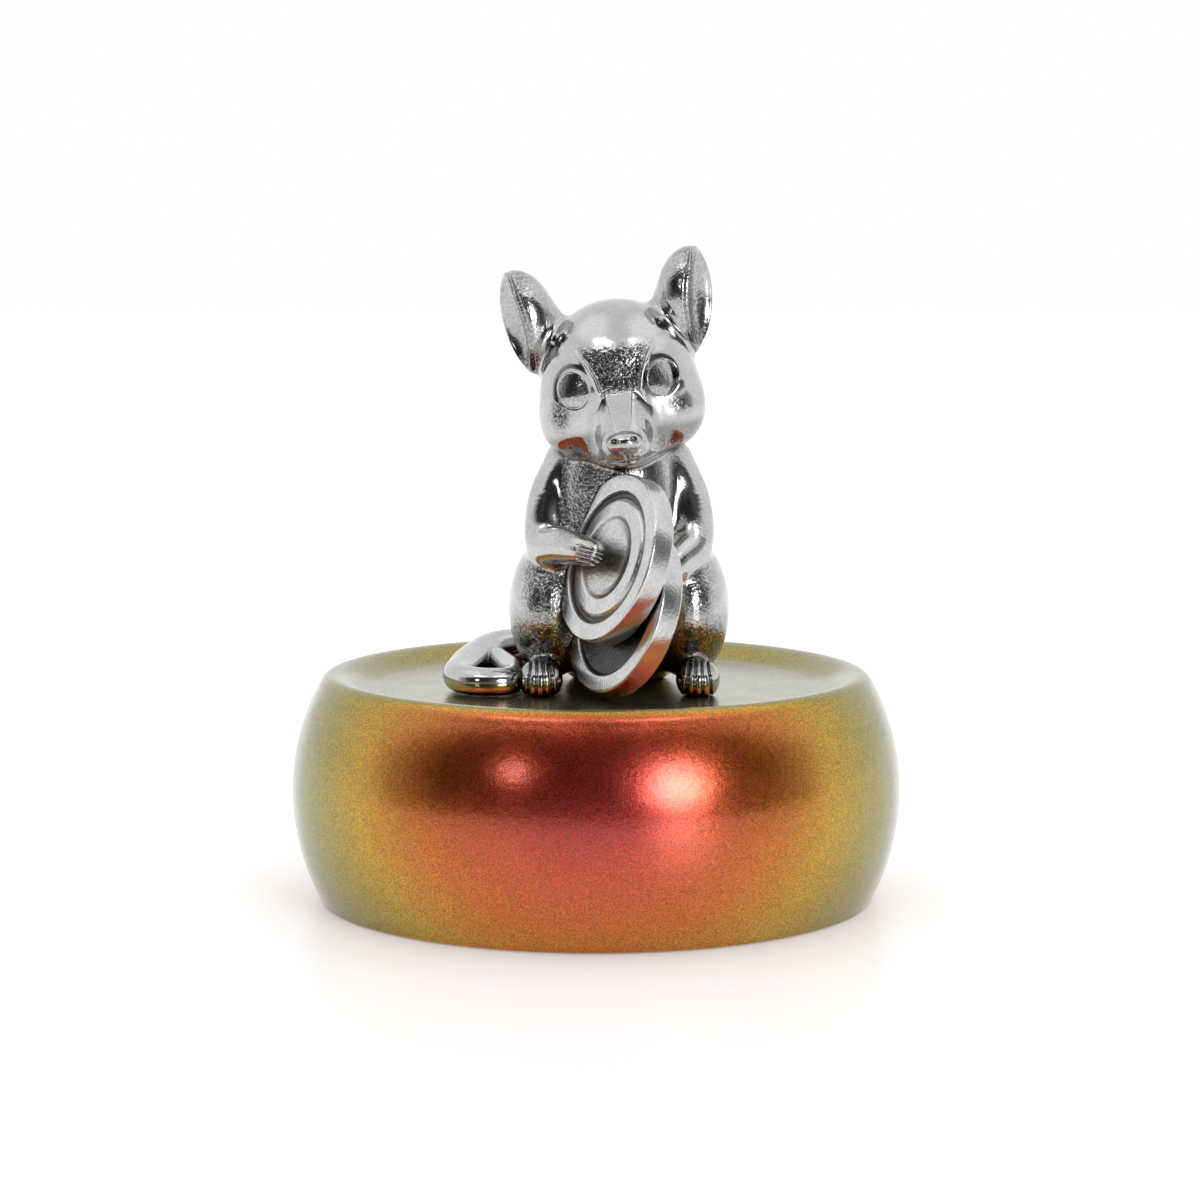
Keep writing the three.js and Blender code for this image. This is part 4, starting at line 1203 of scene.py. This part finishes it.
for side in (LEFT, RIGHT):
    arm_neighbours = [(torso_form, ARM_FILLET), (head_form, JAW_FILLET)]
    arm_skin = clear_of(soldered(arms[side], arm_neighbours), front_coin, rear_coin)
    low = (-14, -17, 14) if side == LEFT else (-4, -17, 12)
    high = (2, 5, 34) if side == LEFT else (14, 5, 34)
    cast(SIDE_NAMES[side] + "_arm", arm_skin, low, high, FINE * 0.8, 0.12, arm_finish_and_painted_dark, pewter)
    foot_skin = soldered(feet[side], [(torso_form, FOOT_FILLET)])
    middle_x = side * FOOT_ACROSS
    cast(SIDE_NAMES[side] + "_foot", foot_skin, (middle_x - 4, -14, -0.5), (middle_x + 4, 1.5, 8),
         FINE * 0.75, 0.08, foot_finish_and_painted_shade, pewter)

tail_skin = soldered(tail, [(torso_form, TAIL_FILLET)])
cast("tail", tail_skin, (-24, -13, -0.5), (1, 15.5, 7), FINE, 0.2, tail_finish_and_painted_shade, pewter)

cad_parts["base_pad"].data.materials[0] = black_felt()
zinc = zinc_plate()
for hardware in ("left_fixing_screw", "right_fixing_screw", "left_washer", "right_washer"):
    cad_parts[hardware].data.materials[0] = zinc


# Floor, surroundings and camera

def white_floor():
    """A white table top, a little glossy, which keeps the shadow."""
    mesh = bpy.data.meshes.new("table_top")
    half = TABLE_HALF
    places = [(-half, -half, 0), (half, -half, 0), (half, half, 0), (-half, half, 0)]
    mesh.from_pydata(places, [], [(0, 1, 2, 3)])
    table = bpy.data.objects.new("table_top", mesh)
    scene.collection.objects.link(table)
    material, tree, shader = new_material("white_table")
    shader.inputs["Base Color"].default_value = (0.9, 0.9, 0.9, 1)
    shader.inputs["Roughness"].default_value = 0.3
    shader.inputs["Specular IOR Level"].default_value = 0.15
    path = tree.nodes.new("ShaderNodeLightPath")
    seen = math_node(tree, "MAXIMUM", path.outputs["Is Camera Ray"], path.outputs["Is Glossy Ray"])
    lift = math_node(tree, "MULTIPLY", seen, TABLE_LIFT)
    shader.inputs["Emission Color"].default_value = (1, 1, 1, 1)
    tree.links.new(lift, shader.inputs["Emission Strength"])
    table.data.materials.append(material)


def toward(azimuth, elevation):
    """A direction: azimuth to the right of straight in front, elevation above level, in degrees."""
    a, e = math.radians(azimuth), math.radians(elevation)
    return Vector((math.sin(a) * math.cos(e), -math.cos(a) * math.cos(e), math.sin(e)))


def glow(tree, direction, azimuth, elevation, half_width, half_height, soft, squareness):
    """A soft-edged patch of the surroundings: 1 inside, 0 outside."""
    middle = toward(azimuth, elevation)
    rightward = toward(azimuth + 90, 0)
    upward = middle.cross(rightward) * -1
    parts = []
    for axis, half in ((rightward, half_width), (upward, half_height)):
        dot = tree.nodes.new("ShaderNodeVectorMath")
        dot.operation = "DOT_PRODUCT"
        tree.links.new(direction, dot.inputs[0])
        dot.inputs[1].default_value = axis / math.sin(math.radians(half))
        size = math_node(tree, "ABSOLUTE", dot.outputs["Value"], 0.0)
        parts.append(math_node(tree, "POWER", size, squareness))
    reach = math_node(tree, "ADD", parts[0], parts[1])
    patch = scaled(tree, reach, 1 - soft, 1 + soft, 1.0, 0.0)
    ahead = tree.nodes.new("ShaderNodeVectorMath")
    ahead.operation = "DOT_PRODUCT"
    tree.links.new(direction, ahead.inputs[0])
    ahead.inputs[1].default_value = middle
    in_front = scaled(tree, ahead.outputs["Value"], 0.0, 0.1, 0.0, 1.0)
    return math_node(tree, "MULTIPLY", patch, in_front)


def blended(tree, share, under, over):
    """One brightness laid over another."""
    keep = math_node(tree, "MULTIPLY", under, math_node(tree, "SUBTRACT", 1.0, share))
    return math_node(tree, "ADD", keep, math_node(tree, "MULTIPLY", share, over))


def surroundings():
    """A white tent, dim on the camera's side, with soft lamps in front and light panels above."""
    world = bpy.data.worlds.new("white_tent")
    world.use_nodes = True
    tree = world.node_tree
    background = tree.nodes["Background"]
    direction = tree.nodes.new("ShaderNodeTexCoord").outputs["Generated"]
    split = tree.nodes.new("ShaderNodeSeparateXYZ")
    tree.links.new(direction, split.inputs["Vector"])
    height = split.outputs["Z"]
    tent = scaled(tree, height, 0.0, 0.9, 1.04, 0.95)
    for *shape, brightness in TENT_PATCHES:
        tent = blended(tree, glow(tree, direction, *shape), tent, brightness)
    path = tree.nodes.new("ShaderNodeLightPath")
    seen = blended(tree, path.outputs["Is Camera Ray"], tent, 1.0)
    tree.links.new(seen, background.inputs["Strength"])
    background.inputs["Color"].default_value = (1, 1, 1, 1)
    scene.world = world


def camera():
    lens = bpy.data.cameras.new("camera")
    lens.sensor_width = 36
    lens.lens = CAMERA_LENS
    lens.clip_start = 0.01
    lens.clip_end = 20
    holder = bpy.data.objects.new("camera", lens)
    holder.location = CAMERA_PLACE
    holder.rotation_euler = (math.pi / 2 - CAMERA_DIP, 0, 0)
    scene.collection.objects.link(holder)
    scene.camera = holder


white_floor()
surroundings()
camera()
scene.view_settings.view_transform = "Standard"


def corners(box):
    return [[float(value) for value in corner] for corner in box]
